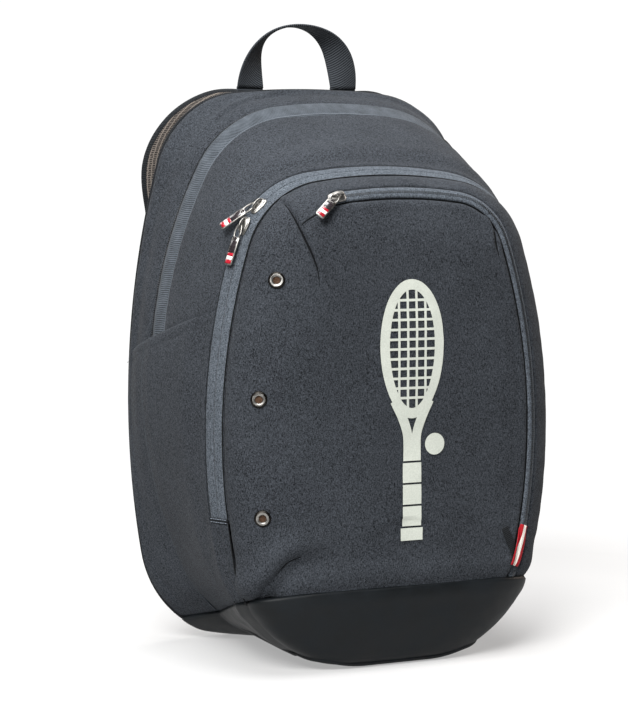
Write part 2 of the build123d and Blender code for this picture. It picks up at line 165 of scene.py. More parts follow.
def shell(t, y):
    """Points on the pack's wall, ruled from station to station."""
    t, y = np.broadcast_arrays(np.asarray(t, float), np.asarray(y, float))
    points = np.zeros(t.shape + (3,))
    points[..., 1] = y
    for (shape_a, y_a, inset_a), (shape_b, y_b, inset_b) in zip(STATIONS, STATIONS[1:]):
        share = (y_a - y) / (y_a - y_b)
        on = (share >= -1e-9) & (share <= 1 + 1e-9)
        xa, za = outline(shape_a, t, inset_a)
        xb, zb = outline(shape_b, t, inset_b)
        points[..., 0] = np.where(on, xa + (xb - xa) * share, points[..., 0])
        points[..., 2] = np.where(on, za + (zb - za) * share, points[..., 2])
    return points


def dome_depth(inset):
    """y of the front panel at an inset from the pocket's outline."""
    s = np.clip((inset - PANEL_INSET) / DOME_WIDTH, 0.0, 1.0)
    return Y_POCKET_FRONT - (Y_POCKET_FRONT - Y_FRONT) * (1 - (1 - s) ** DOME_ROUND) ** (1 / DOME_ROUND)


def dome_floor(inset):
    """Height of the lowest point of the front's outline at an inset."""
    s = inset - PANEL_INSET
    return s - 4.0 * (1 - np.exp(-s / 4.0))


def front_inset(x, z):
    """Distance from the pocket's outline to points on the front."""
    centres, radii, angles = arcs_of(POCKET)
    x = np.abs(x)
    gap = [radii[k] - np.hypot(x - centres[k][0], z - centres[k][1]) for k in range(4)]
    about = np.arctan2(z - centres[1][1], x - centres[1][0])
    inside = (x < centres[1][0]) & (z < centres[1][1])
    low = np.arctan2(z - centres[2][1], x - centres[2][0]) < angles[3]
    side = np.where(low, gap[3], gap[2])
    found = np.where(about > angles[1], gap[0], np.where(about < angles[2], side, gap[1]))
    return np.where(inside, np.minimum(gap[0], side), found)


def front_point(x, z, lift=0.0):
    """Points on the front panel over (x, z), lifted along its normal."""
    x, z = np.broadcast_arrays(np.asarray(x, float), np.asarray(z, float))
    step = 0.25

    def depth(a, b):
        return dome_depth(front_inset(a, b))

    slope_x = (depth(x + step, z) - depth(x - step, z)) / (2 * step)
    slope_z = (depth(x, z + step) - depth(x, z - step)) / (2 * step)
    normal = np.stack([slope_x, -np.ones_like(slope_x), slope_z], -1)
    normal /= np.linalg.norm(normal, axis=-1, keepdims=True)
    points = np.stack([x, depth(x, z), z], -1)
    return points + normal * np.asarray(lift)[..., None], normal


# ---------------------------------------------------------------- mesh tools
def normals_of(grid):
    """Outward unit normals of a (rows, columns, 3) grid."""
    normal = np.cross(np.gradient(grid, axis=0), np.gradient(grid, axis=1))
    normal /= np.linalg.norm(normal, axis=-1, keepdims=True) + 1e-12
    return normal if np.sum(normal * (grid - CORE)) > 0 else -normal


def lay_of(grid):
    """Distance along the columns and the rows of a grid, from its middle column, for woven patterns."""
    rows, cols = grid.shape[:2]
    along = np.zeros((rows, cols))
    along[:, 1:] = np.cumsum(np.linalg.norm(np.diff(grid, axis=1), axis=-1), axis=1)
    along -= along[:, cols // 2][:, None]
    across = np.zeros((rows, cols))
    across[1:] = np.cumsum(np.linalg.norm(np.diff(grid, axis=0), axis=-1), axis=0)
    return np.stack([along, across, np.zeros((rows, cols))], -1)


def grid_faces(rows, cols, closed=False):
    """Quads between the points of a grid."""
    r = np.arange(rows - 1)[:, None]
    c = np.arange(cols if closed else cols - 1)[None, :]
    after = (c + 1) % cols
    first, second = r * cols, (r + 1) * cols
    return np.stack([first + c, first + after, second + after, second + c], -1).reshape(-1, 4)


def mesh_object(name, points, faces, materials, lay=None, slots=None, smooth=True):
    """A mesh object from points in millimetres."""
    mesh = bpy.data.meshes.new(name)
    places = np.asarray(points, float) * MM
    mesh.from_pydata(places.tolist(), [], [tuple(int(i) for i in f) for f in faces])
    for material in materials:
        mesh.materials.append(material)
    if smooth:
        mesh.polygons.foreach_set("use_smooth", np.ones(len(mesh.polygons), bool))
    if slots is not None:
        mesh.polygons.foreach_set("material_index", np.asarray(slots, np.int32))
    if lay is not None:
        attribute = mesh.attributes.new("lay", "FLOAT_VECTOR", "POINT")
        attribute.data.foreach_set("vector", np.asarray(lay, np.float32).ravel())
    mesh.update()
    obj = bpy.data.objects.new(name, mesh)
    bpy.context.scene.collection.objects.link(obj)
    return obj


def settle(obj, body, slot, *nodes):
    """The piece rides on a body and stands for its CAD nodes, which it hides; slot is not used."""
    if body:
        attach(obj, body)
    if nodes:
        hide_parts(*nodes)
    return obj


def facing(grid, faces):
    """Faces turned so that a grid's first face looks away from the pack's core."""
    points = grid.reshape(-1, 3)
    quads = points[faces]
    normal = np.cross(quads[:, 2] - quads[:, 0], quads[:, 3] - quads[:, 1])
    out = np.sum(normal * (quads.mean(1) - CORE))
    return faces if out > 0 else faces[:, ::-1]


def skin(name, grid, cloth, inner, thick=1.8, lay=None):
    """A cloth panel with a lining: the grid is its outer face."""
    faces = facing(grid, grid_faces(*grid.shape[:2]))
    lay = lay_of(grid) if lay is None else lay
    obj = mesh_object(name, grid.reshape(-1, 3), faces, [cloth, inner], lay.reshape(-1, 3))
    solid = obj.modifiers.new("thickness", "SOLIDIFY")
    solid.thickness = thick * MM
    solid.offset = -1.0
    solid.material_offset = 1
    return obj


def rolled(distance, radius):
    """How far a turned edge dips at a distance from that edge."""
    near = np.clip(radius - distance, 0.0, radius)
    return radius - np.sqrt(radius ** 2 - near ** 2)


def spaced(low, high, step, edge=0.35):
    """Values from low to high, closer together next to both ends."""
    close = np.array([0.0, edge, 2.2 * edge, 4 * edge, 6.5 * edge])
    inner = np.linspace(close[-1], abs(high - low) - close[-1], max(int(abs(high - low) / step), 2))
    distance = np.concatenate([close[:-1], inner, abs(high - low) - close[:-1][::-1]])
    return low + np.sign(high - low) * distance


WAVES = {}


def soft_noise(points, size, seed):
    """Smooth random relief between about -1 and 1, as a sum of waves in many directions."""
    if seed not in WAVES:
        rng = np.random.default_rng(seed)
        direction = rng.normal(size=(14, 3))
        direction /= np.linalg.norm(direction, axis=1, keepdims=True)
        WAVES[seed] = direction * rng.uniform(0.6, 1.7, (14, 1)), rng.uniform(0, 2 * math.pi, 14)
    direction, phase = WAVES[seed]
    return np.cos(points @ direction.T * (2 * math.pi / size) + phase).sum(-1) / 5.0


def bell(value, width):
    """1 at zero, falling away on both sides."""
    return np.exp(-(value / width) ** 2)


def ease(value, low, high):
    """0 below low, 1 above high, smooth between."""
    share = np.clip((value - low) / (high - low), 0.0, 1.0)
    return share * share * (3 - 2 * share)


def path_distance(points, path):
    """Distance from 2-D points to a polyline, signed by side, and the share of the way along it."""
    path = np.asarray(path, float)
    lengths = np.concatenate([[0.0], np.cumsum(np.linalg.norm(np.diff(path, axis=0), axis=1))])
    best = np.full(points.shape[:-1], np.inf)
    signed = np.zeros(points.shape[:-1])
    share = np.zeros(points.shape[:-1])
    for k in range(len(path) - 1):
        step = path[k + 1] - path[k]
        span = np.linalg.norm(step)
        along = np.clip((points - path[k]) @ step / span ** 2, 0.0, 1.0)
        offset = points - (path[k] + along[..., None] * step)
        distance = np.linalg.norm(offset, axis=-1)
        side = np.sign(step[0] * offset[..., 1] - step[1] * offset[..., 0])
        closer = distance < best
        best = np.where(closer, distance, best)
        signed = np.where(closer, distance * side, signed)
        share = np.where(closer, (lengths[k] + along * span) / lengths[-1], share)
    return signed, share


def resample(path, step):
    """Points evenly spaced along a path."""
    path = np.asarray(path, float)
    lengths = np.concatenate([[0.0], np.cumsum(np.linalg.norm(np.diff(path, axis=0), axis=1))])
    at = np.linspace(0, lengths[-1], max(int(lengths[-1] / step), 2) + 1)
    return np.stack([np.interp(at, lengths, path[:, k]) for k in range(path.shape[1])], -1)


def curve_through(points, per_span=8):
    """A Catmull-Rom curve through points."""
    p = np.asarray(points, float)
    p = np.vstack([2 * p[0] - p[1], p, 2 * p[-1] - p[-2]])
    t = np.linspace(0, 1, per_span, endpoint=False)[:, None]
    spans = [0.5 * (2 * b + (c - a) * t + (2 * a - 5 * b + 4 * c - d) * t ** 2
                    + (3 * b - a - 3 * c + d) * t ** 3)
             for a, b, c, d in zip(p, p[1:], p[2:], p[3:])]
    return np.vstack(spans + [p[-2][None]])


def directions(path):
    """Unit tangents along a path."""
    tangent = np.gradient(path, axis=0)
    return tangent / np.linalg.norm(tangent, axis=1, keepdims=True)


def frames_along(path, up, closed=False):
    """Tangent, across and normal unit vectors at each point of a path; up is roughly the normal."""
    path = np.asarray(path, float)
    if closed:
        tangent = np.roll(path, -1, 0) - np.roll(path, 1, 0)
        tangent /= np.linalg.norm(tangent, axis=1, keepdims=True)
    else:
        tangent = directions(path)
    up = np.broadcast_to(up, path.shape)
    across = np.cross(tangent, up)
    across /= np.linalg.norm(across, axis=1, keepdims=True)
    return tangent, across, np.cross(across, tangent)


def sweep(name, path, section, up, material, closed=False, scale=None):
    """A closed section (across, normal) carried along a path, with capped ends."""
    path = np.asarray(path, float)
    _, across, normal = frames_along(path, up, closed)
    section = np.asarray(section, float)
    size = np.ones(len(path)) if scale is None else np.asarray(scale, float)
    offset = across[:, None] * section[None, :, :1] + normal[:, None] * section[None, :, 1:]
    grid = path[:, None] + offset * size[:, None, None]
    count, sides = grid.shape[:2]
    if closed:
        loop = np.concatenate([grid, grid[:1]])
        faces = grid_faces(count + 1, sides, True) % (count * sides)
        lay = lay_of(loop.transpose(1, 0, 2)).transpose(1, 0, 2)[:-1]
    else:
        faces = grid_faces(count, sides, True)
        lay = lay_of(grid.transpose(1, 0, 2)).transpose(1, 0, 2)
    faces = [tuple(f) for f in faces]
    if not closed:
        faces += [tuple(range(sides))[::-1], tuple(range((count - 1) * sides, count * sides))]
    obj = mesh_object(name, grid.reshape(-1, 3), faces, [material], lay.reshape(-1, 3))
    return tidy_normals(obj)


def tidy_normals(obj):
    """Faces of a closed mesh turned outward."""
    work = bmesh.new()
    work.from_mesh(obj.data)
    bmesh.ops.recalc_face_normals(work, faces=work.faces)
    work.to_mesh(obj.data)
    work.free()
    return obj


def circle(radius, sides=10):
    """Points round a circle."""
    angle = np.arange(sides) * 2 * math.pi / sides
    return np.stack([radius * np.cos(angle), radius * np.sin(angle)], -1)


def flat_section(width, thick, sides=6):
    """A strap's section: flat faces and rounded edges."""
    radius = thick / 2
    angle = np.linspace(-math.pi / 2, math.pi / 2, sides)
    half = np.stack([width / 2 - radius + radius * np.cos(angle), radius * np.sin(angle)], -1)
    inner = np.linspace(width / 2 - radius, -(width / 2 - radius), 9)[1:-1]
    top = np.stack([inner, np.full(7, radius)], -1)
    return np.vstack([half, top, -half, -top])


def joined(name, objects):
    """Several objects as one mesh object."""
    points, faces, slots, lays, materials = [], [], [], [], []
    base = 0
    for obj in objects:
        mesh = obj.data
        co = np.zeros(len(mesh.vertices) * 3, np.float32)
        mesh.vertices.foreach_get("co", co)
        points.append(co.reshape(-1, 3) / MM)
        lay = np.zeros(len(mesh.vertices) * 3, np.float32)
        if "lay" in mesh.attributes:
            mesh.attributes["lay"].data.foreach_get("vector", lay)
        lays.append(lay.reshape(-1, 3))
        for material in mesh.materials:
            if material not in materials:
                materials.append(material)
        local = [materials.index(m) for m in mesh.materials]
        for polygon in mesh.polygons:
            faces.append(tuple(base + i for i in polygon.vertices))
            slots.append(local[polygon.material_index] if local else 0)
        base += len(mesh.vertices)
    for obj in objects:
        bpy.data.objects.remove(obj)
    return mesh_object(name, np.vstack(points), faces, materials, np.vstack(lays), slots)


def stitches(name, path, normal, material, length=2.4, pitch=3.4, radius=0.28, sink=0.12):
    """A row of thread stitches lying on a surface path."""
    both = np.hstack([path, np.broadcast_to(normal, np.shape(path))])
    both = resample(both, pitch / 2)
    points, faces = [], []
    sides = 6
    rings = ((-0.5, 0.3, -0.5), (-0.36, 0.9, 0.1), (0.0, 1.0, 0.45), (0.36, 0.9, 0.1), (0.5, 0.3, -0.5))
    for k in range(0, len(both) - 1, 2):
        a, b = both[k, :3], both[k + 1, :3]
        n = both[k, 3:] / (np.linalg.norm(both[k, 3:]) + 1e-9)
        along = (b - a) / (np.linalg.norm(b - a) + 1e-9)
        across = np.cross(along, n)
        centre = (a + b) / 2
        base = len(points)
        for share, grow, lift in rings:
            for angle in np.arange(sides) * 2 * math.pi / sides:
                offset = across * math.cos(angle) + n * math.sin(angle)
                place = centre + along * share * length + offset * radius * grow
                points.append(place + n * (lift * radius - sink))
        for ring in range(4):
            for side in range(sides):
                after = (side + 1) % sides
                faces.append((base + ring * sides + side, base + ring * sides + after,
                              base + (ring + 1) * sides + after, base + (ring + 1) * sides + side))
        faces.append(tuple(base + i for i in range(sides))[::-1])
        faces.append(tuple(base + 4 * sides + i for i in range(sides)))
    return tidy_normals(mesh_object(name, points, faces, [material]))


# ---------------------------------------------------------------- materials
def linear(code):
    """Scene-linear colour of a six-digit sRGB code."""
    channels = [int(code[k:k + 2], 16) / 255 for k in (0, 2, 4)]
    return tuple(c / 12.92 if c <= 0.04045 else ((c + 0.055) / 1.055) ** 2.4 for c in channels) + (1.0,)


class Paint:
    """One procedural material and the few nodes that its recipe needs."""

    def __init__(self, name, roughness, metallic=0.0, specular=0.5, sheen=0.0,
                 sheen_roughness=0.5, coat=0.0):
        self.material = bpy.data.materials.new(name)
        self.material.use_nodes = True
        self.tree = self.material.node_tree
        self.shader = self.tree.nodes["Principled BSDF"]
        values = {"Roughness": roughness, "Metallic": metallic, "Specular IOR Level": specular,
                  "Sheen Weight": sheen, "Sheen Roughness": sheen_roughness, "Coat Weight": coat}
        for key, value in values.items():
            self.shader.inputs[key].default_value = value

    def add(self, kind, inputs=(), output=0, **settings):
        node = self.tree.nodes.new("ShaderNode" + kind)
        for key, value in settings.items():
            setattr(node, key, value)
        for key, value in dict(inputs).items():
            if isinstance(value, bpy.types.NodeSocket):
                self.tree.links.new(value, node.inputs[key])
            else:
                node.inputs[key].default_value = value
        return node.outputs[output]

    def place(self, scale=(1.0, 1.0, 1.0), lay=False, turn=0.0):
        """Coordinates in metres on the object, or in metres along the cloth."""
        if lay:
            source = self.add("Attribute", attribute_name="lay", output="Vector")
            scale = tuple(s * MM for s in scale)
        else:
            source = self.add("TexCoord", output="Object")
        return self.add("Mapping", {"Vector": source, "Scale": scale, "Rotation": (0.0, 0.0, turn)})

    def noise(self, vector, size, detail=2.0, rough=0.55):
        """Noise between 0 and 1 with features of a size in millimetres."""
        return self.add("TexNoise", {"Vector": vector, "Scale": 1000.0 / size, "Detail": detail,
                                     "Roughness": rough})

    def math(self, operation, a, b=0.0):
        return self.add("Math", {0: a, 1: b}, operation=operation)

    def mixed(self, *parts):
        """A weighted sum of (weight, socket) pairs."""
        total = None
        for weight, socket in parts:
            term = self.math("MULTIPLY", socket, weight)
            total = term if total is None else self.math("ADD", total, term)
        return total

    def ramp(self, factor, *stops):
        """Colours at positions along a factor."""
        node = self.tree.nodes.new("ShaderNodeValToRGB")
        self.tree.links.new(factor, node.inputs[0])
        while len(node.color_ramp.elements) < len(stops):
            node.color_ramp.elements.new(0.5)
        for element, (position, colour) in zip(node.color_ramp.elements, stops):
            element.position = position
            element.color = linear(colour) if isinstance(colour, str) else (colour,) * 3 + (1.0,)
        return node.outputs[0]

    def finish(self, colour, height=None, depth=0.3, strength=1.0, rough=None):
        """Colour, bump of a depth in millimetres, and roughness."""
        self.tree.links.new(colour, self.shader.inputs["Base Color"])
        if height is not None:
            bump = self.add("Bump", {"Height": height, "Distance": depth * MM, "Strength": strength})
            self.tree.links.new(bump, self.shader.inputs["Normal"])
        if rough is not None:
            self.tree.links.new(rough, self.shader.inputs["Roughness"])
        return self.material


def melange(name, dark, light, grain=1.5, relief=0.5, sheen=0.03, contrast=1.0):
    """Plain weave of dark and light yarns, mottled at the size of a few threads."""
    paint = Paint(name, 0.95, specular=0.07, sheen=sheen, sheen_roughness=0.45)
    at = paint.place()
    long_yarn = paint.place((1.0, 1.0, 0.28))
    wide_yarn = paint.place((0.3, 0.3, 1.0))
    yarn = paint.noise(at, grain, 3.0, 0.7)
    upright = paint.noise(long_yarn, grain * 0.62, 2.0)
    level = paint.noise(wide_yarn, grain * 0.62, 2.0)
    patch = paint.noise(at, 55.0, 2.0)
    factor = paint.mixed((0.44, yarn), (0.32, upright), (0.18, level), (0.06, patch))
    half = 0.13 / contrast
    colour = paint.ramp(factor, (0.5 - half, dark), (0.5 + half, light))
    threads = paint.mixed((0.5, paint.noise(at, 0.8, 2.0)), (0.3, upright), (0.2, yarn))
    return paint.finish(colour, threads, relief)


def ribbed(name, dark, light, pitch=1.5, lean=0.6, relief=0.4, rib_share=0.55):
    """Tape or webbing with fine ribs across its length."""
    paint = Paint(name, 0.85, specular=0.12, sheen=0.04)
    at = paint.place(lay=True, turn=lean)
    ribs = paint.add("TexWave", {"Vector": at, "Scale": 100.0 * math.pi / pitch, "Distortion": 0.6,
                                 "Detail": 1.0}, output="Fac", wave_type="BANDS", bands_direction="X")
    fuzz = paint.noise(paint.place(), 0.9, 2.0)
    mottle = paint.noise(paint.place(), 9.0, 2.0)
    factor = paint.mixed((rib_share, ribs), (0.3, fuzz), (0.7 - rib_share, mottle))
    colour = paint.ramp(factor, (0.25, dark), (0.72, light))
    return paint.finish(colour, paint.mixed((0.7, ribs), (0.3, fuzz)), relief)


def coated(name, dark, light):
    """Smooth coated cloth with a faint weave and rubbed patches."""
    paint = Paint(name, 0.55, specular=0.2)
    at = paint.place()
    fine = paint.noise(at, 0.9, 2.0)
    rub = paint.noise(at, 24.0, 4.0, 0.6)
    colour = paint.ramp(paint.mixed((0.35, fine), (0.65, rub)), (0.35, dark), (0.68, light))
    rough = paint.ramp(rub, (0.3, 0.46), (0.7, 0.64))
    return paint.finish(colour, fine, 0.08, rough=rough)


def plain_weave(name, dark, light, grain=1.1, relief=0.35, roughness=0.9):
    """Fine even cloth or thread with faint patches."""
    paint = Paint(name, roughness, specular=0.1, sheen=0.02)
    at = paint.place()
    fine = paint.noise(at, grain, 3.0, 0.65)
    patch = paint.noise(at, 40.0)
    colour = paint.ramp(paint.mixed((0.7, fine), (0.3, patch)), (0.34, dark), (0.66, light))
    return paint.finish(colour, fine, relief)


def spacer_mesh(name, dark, light, cell=3.4):
    """Open knitted spacer mesh: raised yarns round small dark cells."""
    paint = Paint(name, 0.85, specular=0.2, sheen=0.2)
    at = paint.place((1.0, 0.62, 1.0), lay=True)
    cells = paint.add("TexVoronoi", {"Vector": at, "Scale": 1000.0 / cell, "Randomness": 0.18},
                      output="Distance", feature="DISTANCE_TO_EDGE")
    fuzz = paint.noise(paint.place(), 0.7)
    wall = paint.ramp(cells, (0.06, 1.0), (0.26, 0.0))
    colour = paint.ramp(paint.mixed((0.8, wall), (0.2, fuzz)), (0.1, dark), (0.75, light))
    return paint.finish(colour, wall, 0.7)


def metal(name, low, high, roughness=0.25):
    """Plated metal with fine rubbed scratches and duller patches."""
    paint = Paint(name, roughness, metallic=1.0)
    at = paint.place((1.0, 1.0, 0.15))
    scratch = paint.noise(at, 0.5, 4.0, 0.7)
    tarnish = paint.noise(paint.place(), 3.0, 3.0)
    colour = paint.ramp(paint.mixed((0.4, scratch), (0.6, tarnish)), (0.3, low), (0.7, high))
    rough = paint.ramp(tarnish, (0.3, roughness - 0.08), (0.75, roughness + 0.14))
    return paint.finish(colour, tarnish, 0.01, rough=rough)


def glossy(name, low, high, roughness=0.25, coat=0.6):
    """Enamel or moulded plastic with a slightly uneven face."""
    paint = Paint(name, roughness, coat=coat)
    uneven = paint.noise(paint.place(), 1.8, 3.0)
    colour = paint.ramp(uneven, (0.35, low), (0.65, high))
    return paint.finish(colour, uneven, 0.03)


CLOTH = melange("melange_cloth", "0e1012", "41454b", grain=1.0, contrast=1.3)
# A darker copy of the melange cloth. Along the outer seam of the front zip it is painted shade of the groove;
# it also covers the tabs at the zip's ends.
CLOTH_DARK = melange("melange_cloth_dark", "090a0c", "2b2e32", grain=1.0, contrast=1.3)
TAPE = melange("zip_tape_cloth", "181b1f", "60676f", grain=1.0, contrast=1.2)
MAIN_TAPE = ribbed("main_tape_cloth", "1e2226", "50565d", rib_share=0.3)
BOOT = coated("boot_cloth", "070a0c", "0f1418")
LINING = plain_weave("lining_cloth", "3c4043", "565b5f", roughness=0.7)
BACKING = plain_weave("back_cloth", "131517", "2b2e32")
MESH = spacer_mesh("air_mesh_cloth", "2b2725", "6f6760", cell=2.0)
STRAP = plain_weave("strap_cloth", "16181b", "34383c")
WEB = ribbed("webbing_cloth", "1b1e21", "41454a", pitch=2.0, lean=0.0, relief=0.5)
BINDING = ribbed("binding_cloth", "0e0f11", "202326", pitch=1.6, lean=0.0)
THREAD = plain_weave("thread", "121416", "2a2d31", grain=0.6, relief=0.05, roughness=0.6)
PALE_THREAD = plain_weave("pale_thread", "565d66", "7f8790", grain=0.6, relief=0.05, roughness=0.6)
COIL = glossy("zip_coil", "131517", "24272a", roughness=0.45, coat=0.1)
GUNMETAL = metal("gunmetal", "3a3835", "76736e", 0.33)
NICKEL = metal("nickel", "6d6b68", "a5a39f", 0.38)
ENAMEL_DARK = glossy("enamel_dark", "1a1618", "2e282b")
ENAMEL_RED = glossy("enamel_red", "7c0d18", "a3192a")
ENAMEL_WHITE = glossy("enamel_white", "cfcfcb", "f0f0ec")
BUCKLE = glossy("buckle_plastic", "0f1011", "1f2123", roughness=0.5, coat=0.05)
PRINT = plain_weave("print_ink", "a8aca4", "bcc0b7", grain=0.9, relief=0.1, roughness=0.6)
TAG_RED = ribbed("tag_red", "5f0a12", "b01f28", pitch=0.9, lean=0.0, relief=0.15)
TAG_WHITE = ribbed("tag_white", "b9b3aa", "e9e4dc", pitch=0.9, lean=0.0, relief=0.15)
EYELET_DARK = plain_weave("eyelet_recess", "2c1f16", "4e3b2e", grain=2.0)
# Near-black strips laid along seams and darts: painted shade of their grooves.
SEAM_SHADE = plain_weave("seam_shade", "060708", "121416", grain=0.8)
SEAM_PALE = plain_weave("seam_edge", "3a3f45", "5a6067", grain=0.8)
DARK_METAL = metal("dark_metal", "1c1b1a", "34322f", 0.42)
EDGE_THREAD = plain_weave("edge_thread", "24282c", "3f444a", grain=0.8)


# ---------------------------------------------------------------- walls of the pack
def end_of(curve, height, start=0.3):
    """Where a falling outline reaches a height."""
    t = np.linspace(start, SHARES[4], 900)
    return np.interp(-height, -curve(t), t)


def arch(depths, cols, low):
    """The wall over the top between depths, down on both sides to the height low(y)."""
    rows = []
    for y in depths:
        stop = end_of(lambda t: shell(t, y)[..., 2], low(y))
        rows.append(shell(np.linspace(-1, 1, cols) * stop, y))
    return np.stack(rows)


def side_strip(side, depths, high, low, cols):
    """The wall on one side between the heights high(y) and low(y)."""
    rows = []
    for y in depths:
        first = end_of(lambda t: shell(t, y)[..., 2], high(y), 0.05)
        last = end_of(lambda t: shell(t, y)[..., 2], low(y), 0.05)
        rows.append(shell(side * np.linspace(first, last, cols), y))
    return np.stack(rows)


def raised(grid, height):
    """A grid moved out along its normals."""
    return grid + normals_of(grid) * np.asarray(height)[..., None]


def edge_distance(grid, first=True, last=True):
    """Distance across the rows to the nearer turned edge."""
    across = lay_of(grid)[..., 1]
    whole = across[-1][None]
    far = np.full(across.shape, 1e3)
    return np.minimum(across if first else far, whole - across if last else far)


UNDER = 14.0               # cloth tucked inside the boot
MAIN_BAND_FRONT = 28.0     # y of the seam between the main zip's tape and the gusset
POCKET_LAP = 45.0          # the main gusset goes on this far under a side pocket


def tucked(y):
    """Height of the cloth's hidden edge inside the boot."""
    return boot_top(y) - UNDER


def make_rear_gusset():
    """Rear half's wall, from the back panel to the main zip."""
    depths = spaced(Y_SEAM - 0.3, Y_ZIP_REAR - 1.4, 1.6)
    grid = arch(depths, 520, tucked)
    share = np.clip((Y_SEAM - grid[..., 1]) / (Y_SEAM - Y_ZIP_REAR), 0, 1)
    height = 2.2 * np.sin(math.pi * share) ** 0.6 - rolled(edge_distance(grid), 2.0)
    height += 1.6 * bell(share - 0.16, 0.13) - 1.3 * bell(share - 0.42, 0.2)
    fold_path = [(-112, 62), (-92, 66), (-66, 72), (-38, 80), (-12, 85)]
    distance, along = path_distance(grid[..., :2], fold_path)
    on_top = ease(grid[..., 2], 380.0, 415.0)
    fade = np.sin(math.pi * np.clip(along, 0, 1)) ** 0.5 * on_top
    height += fade * (1.7 * bell(distance - 2.4, 3.0) - 1.9 * bell(distance + 1.2, 2.2))
    height += 0.45 * soft_noise(grid, 70.0, 3) + 0.12 * soft_noise(grid, 16.0, 4)
    obj = skin("rear_gusset_cloth", raised(grid, into_boot(grid, height)), CLOTH, LINING)
    return settle(obj, "pack_body", "shell_cloth", "rear_gusset")


def make_main_gusset():
    """Upper arch of the front half, from the main zip's tape to the front pocket's zip."""
    depths = spaced(MAIN_BAND_FRONT, Y_POCKET_REAR + 0.4, 1.7)
    grid = arch(depths, 500, lambda y: pocket_top(y) - POCKET_LAP)
    share = np.clip((MAIN_BAND_FRONT - grid[..., 1]) / (MAIN_BAND_FRONT - Y_POCKET_REAR), 0, 1)
    height = 3.2 * np.sin(math.pi * share) ** 0.75 - rolled(edge_distance(grid), 2.2)
    across_top = ease(grid[..., 2], 330.0, 420.0)
    height += across_top * (1.3 * bell(share - 0.72, 0.12) - 1.2 * bell(share - 0.9, 0.07))
    height += 0.8 * soft_noise(grid, 110.0, 5) + 0.14 * soft_noise(grid, 18.0, 6)
    under_pocket = ease(pocket_top(grid[..., 1]) + 4.0 - grid[..., 2], 0.0, 16.0)
    height -= 2.0 * under_pocket
    obj = skin("main_gusset_cloth", raised(grid, height), CLOTH, LINING)
    return settle(obj, "main_front", "shell_cloth", "main_gusset")


def stretched(obj):
    """Cloth of a side, sewn to both halves, with its placement baked into its points."""
    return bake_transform(obj)


def make_lower_side(side, name):
    """Side wall under the pocket, on no moving body."""
    depths = spaced(Y_ZIP_REAR - 1.0, Y_POCKET_REAR + 0.4, 3.0)
    grid = side_strip(side, depths, lambda y: pocket_top(y) - 22.0, tucked, 90)
    grid = raised(grid, -2.6 + 0.3 * soft_noise(grid, 60.0, 8))
    obj = skin(f"{name}_lower_wall", grid, CLOTH, LINING, 1.4)
    settle(obj, None, "shell_cloth")
    obj.modifiers.clear()
    return stretched(obj)


TAPE_COLS = 520            # points along a zip tape


def tape_grid(y0, y1, low, depth, cols=TAPE_COLS, step=0.8):
    """A strip of the wall over the top, sunk by a depth."""
    grid = arch(np.linspace(y0, y1, max(int(abs(y1 - y0) / step), 3) + 1), cols, low)
    return raised(grid, -depth + 0.06 * soft_noise(grid, 14.0, 9))


def teeth(name, y_row, toward, low, depth=0.5, pitch=1.7):
    """A row of coil turns beside the slit at y_row."""
    stop = end_of(lambda t: shell(t, y_row)[..., 2], low)
    dense = np.linspace(-stop, stop, 1500)
    line = shell(dense, y_row)
    behind = shell(dense, y_row + 2.0 * toward)
    tangent = np.gradient(line, axis=0)
    away = behind - line
    normal = np.cross(tangent, away)
    normal /= np.linalg.norm(normal, axis=1, keepdims=True)
    if np.sum(normal * (line - CORE)) < 0:
        normal = -normal
    packed = resample(np.hstack([line, normal, away]), pitch * math.sqrt(1.2))
    points, faces = [], []
    for row in packed:
        centre, n, a = row[:3], row[3:6], row[6:9]
        n = n / np.linalg.norm(n)
        a = a / np.linalg.norm(a)
        along = np.cross(n, a)
        base = len(points)
        for reach, size in ((-0.15, 0.55), (0.5, 1.0), (1.6, 1.0), (2.1, 0.6)):
            for u, v in ((-0.55, -0.6), (0.55, -0.6), (0.42, 0.55), (-0.42, 0.55)):
                points.append(centre + a * reach + along * u * size + n * (v * size - depth))
        for ring in range(3):
            for side in range(4):
                after = (side + 1) % 4
                faces.append((base + ring * 4 + side, base + ring * 4 + after,
                              base + ring * 4 + 4 + after, base + ring * 4 + 4 + side))
        faces.append((base + 3, base + 2, base + 1, base))
        faces.append((base + 12, base + 13, base + 14, base + 15))
    return tidy_normals(mesh_object(name, points, faces, [COIL], smooth=False))


ZIP_FOOT = 126.0           # the front pocket's zip ends at this height on both sides


def make_main_zip():
    """Tapes and coils of the main zip, which arches over the pack."""
    low = pocket_top(Y_MAIN_SLIT) - 20.0
    rear = tape_grid(Y_ZIP_REAR + 2.0, Y_MAIN_SLIT + SLIT, lambda y: low, 3.2)
    rear = skin("main_zip_rear_tape", rear, BINDING, BINDING, 0.8)
    settle(rear, "pack_body", "zip_tape", "main_zip_rear_half")
    settle(teeth("main_zip_rear_coil", Y_MAIN_SLIT + SLIT, 1, low), "pack_body", "zip_tape")
    front = tape_grid(Y_MAIN_SLIT - SLIT, MAIN_BAND_FRONT - 2.0, lambda y: low - 20.0, 0.0)
    share = (Y_MAIN_SLIT - front[..., 1]) / (Y_MAIN_SLIT - MAIN_BAND_FRONT)
    front = raised(front, 0.9 * np.sin(math.pi * np.clip(share, 0, 1)) ** 0.5 - 0.5)
    front = skin("main_zip_front_tape", front, MAIN_TAPE, MAIN_TAPE, 0.8)
    settle(front, "main_front", "zip_tape", "main_zip_front_half")
    settle(teeth("main_zip_front_coil", Y_MAIN_SLIT - SLIT, -1, low), "main_front", "zip_tape")


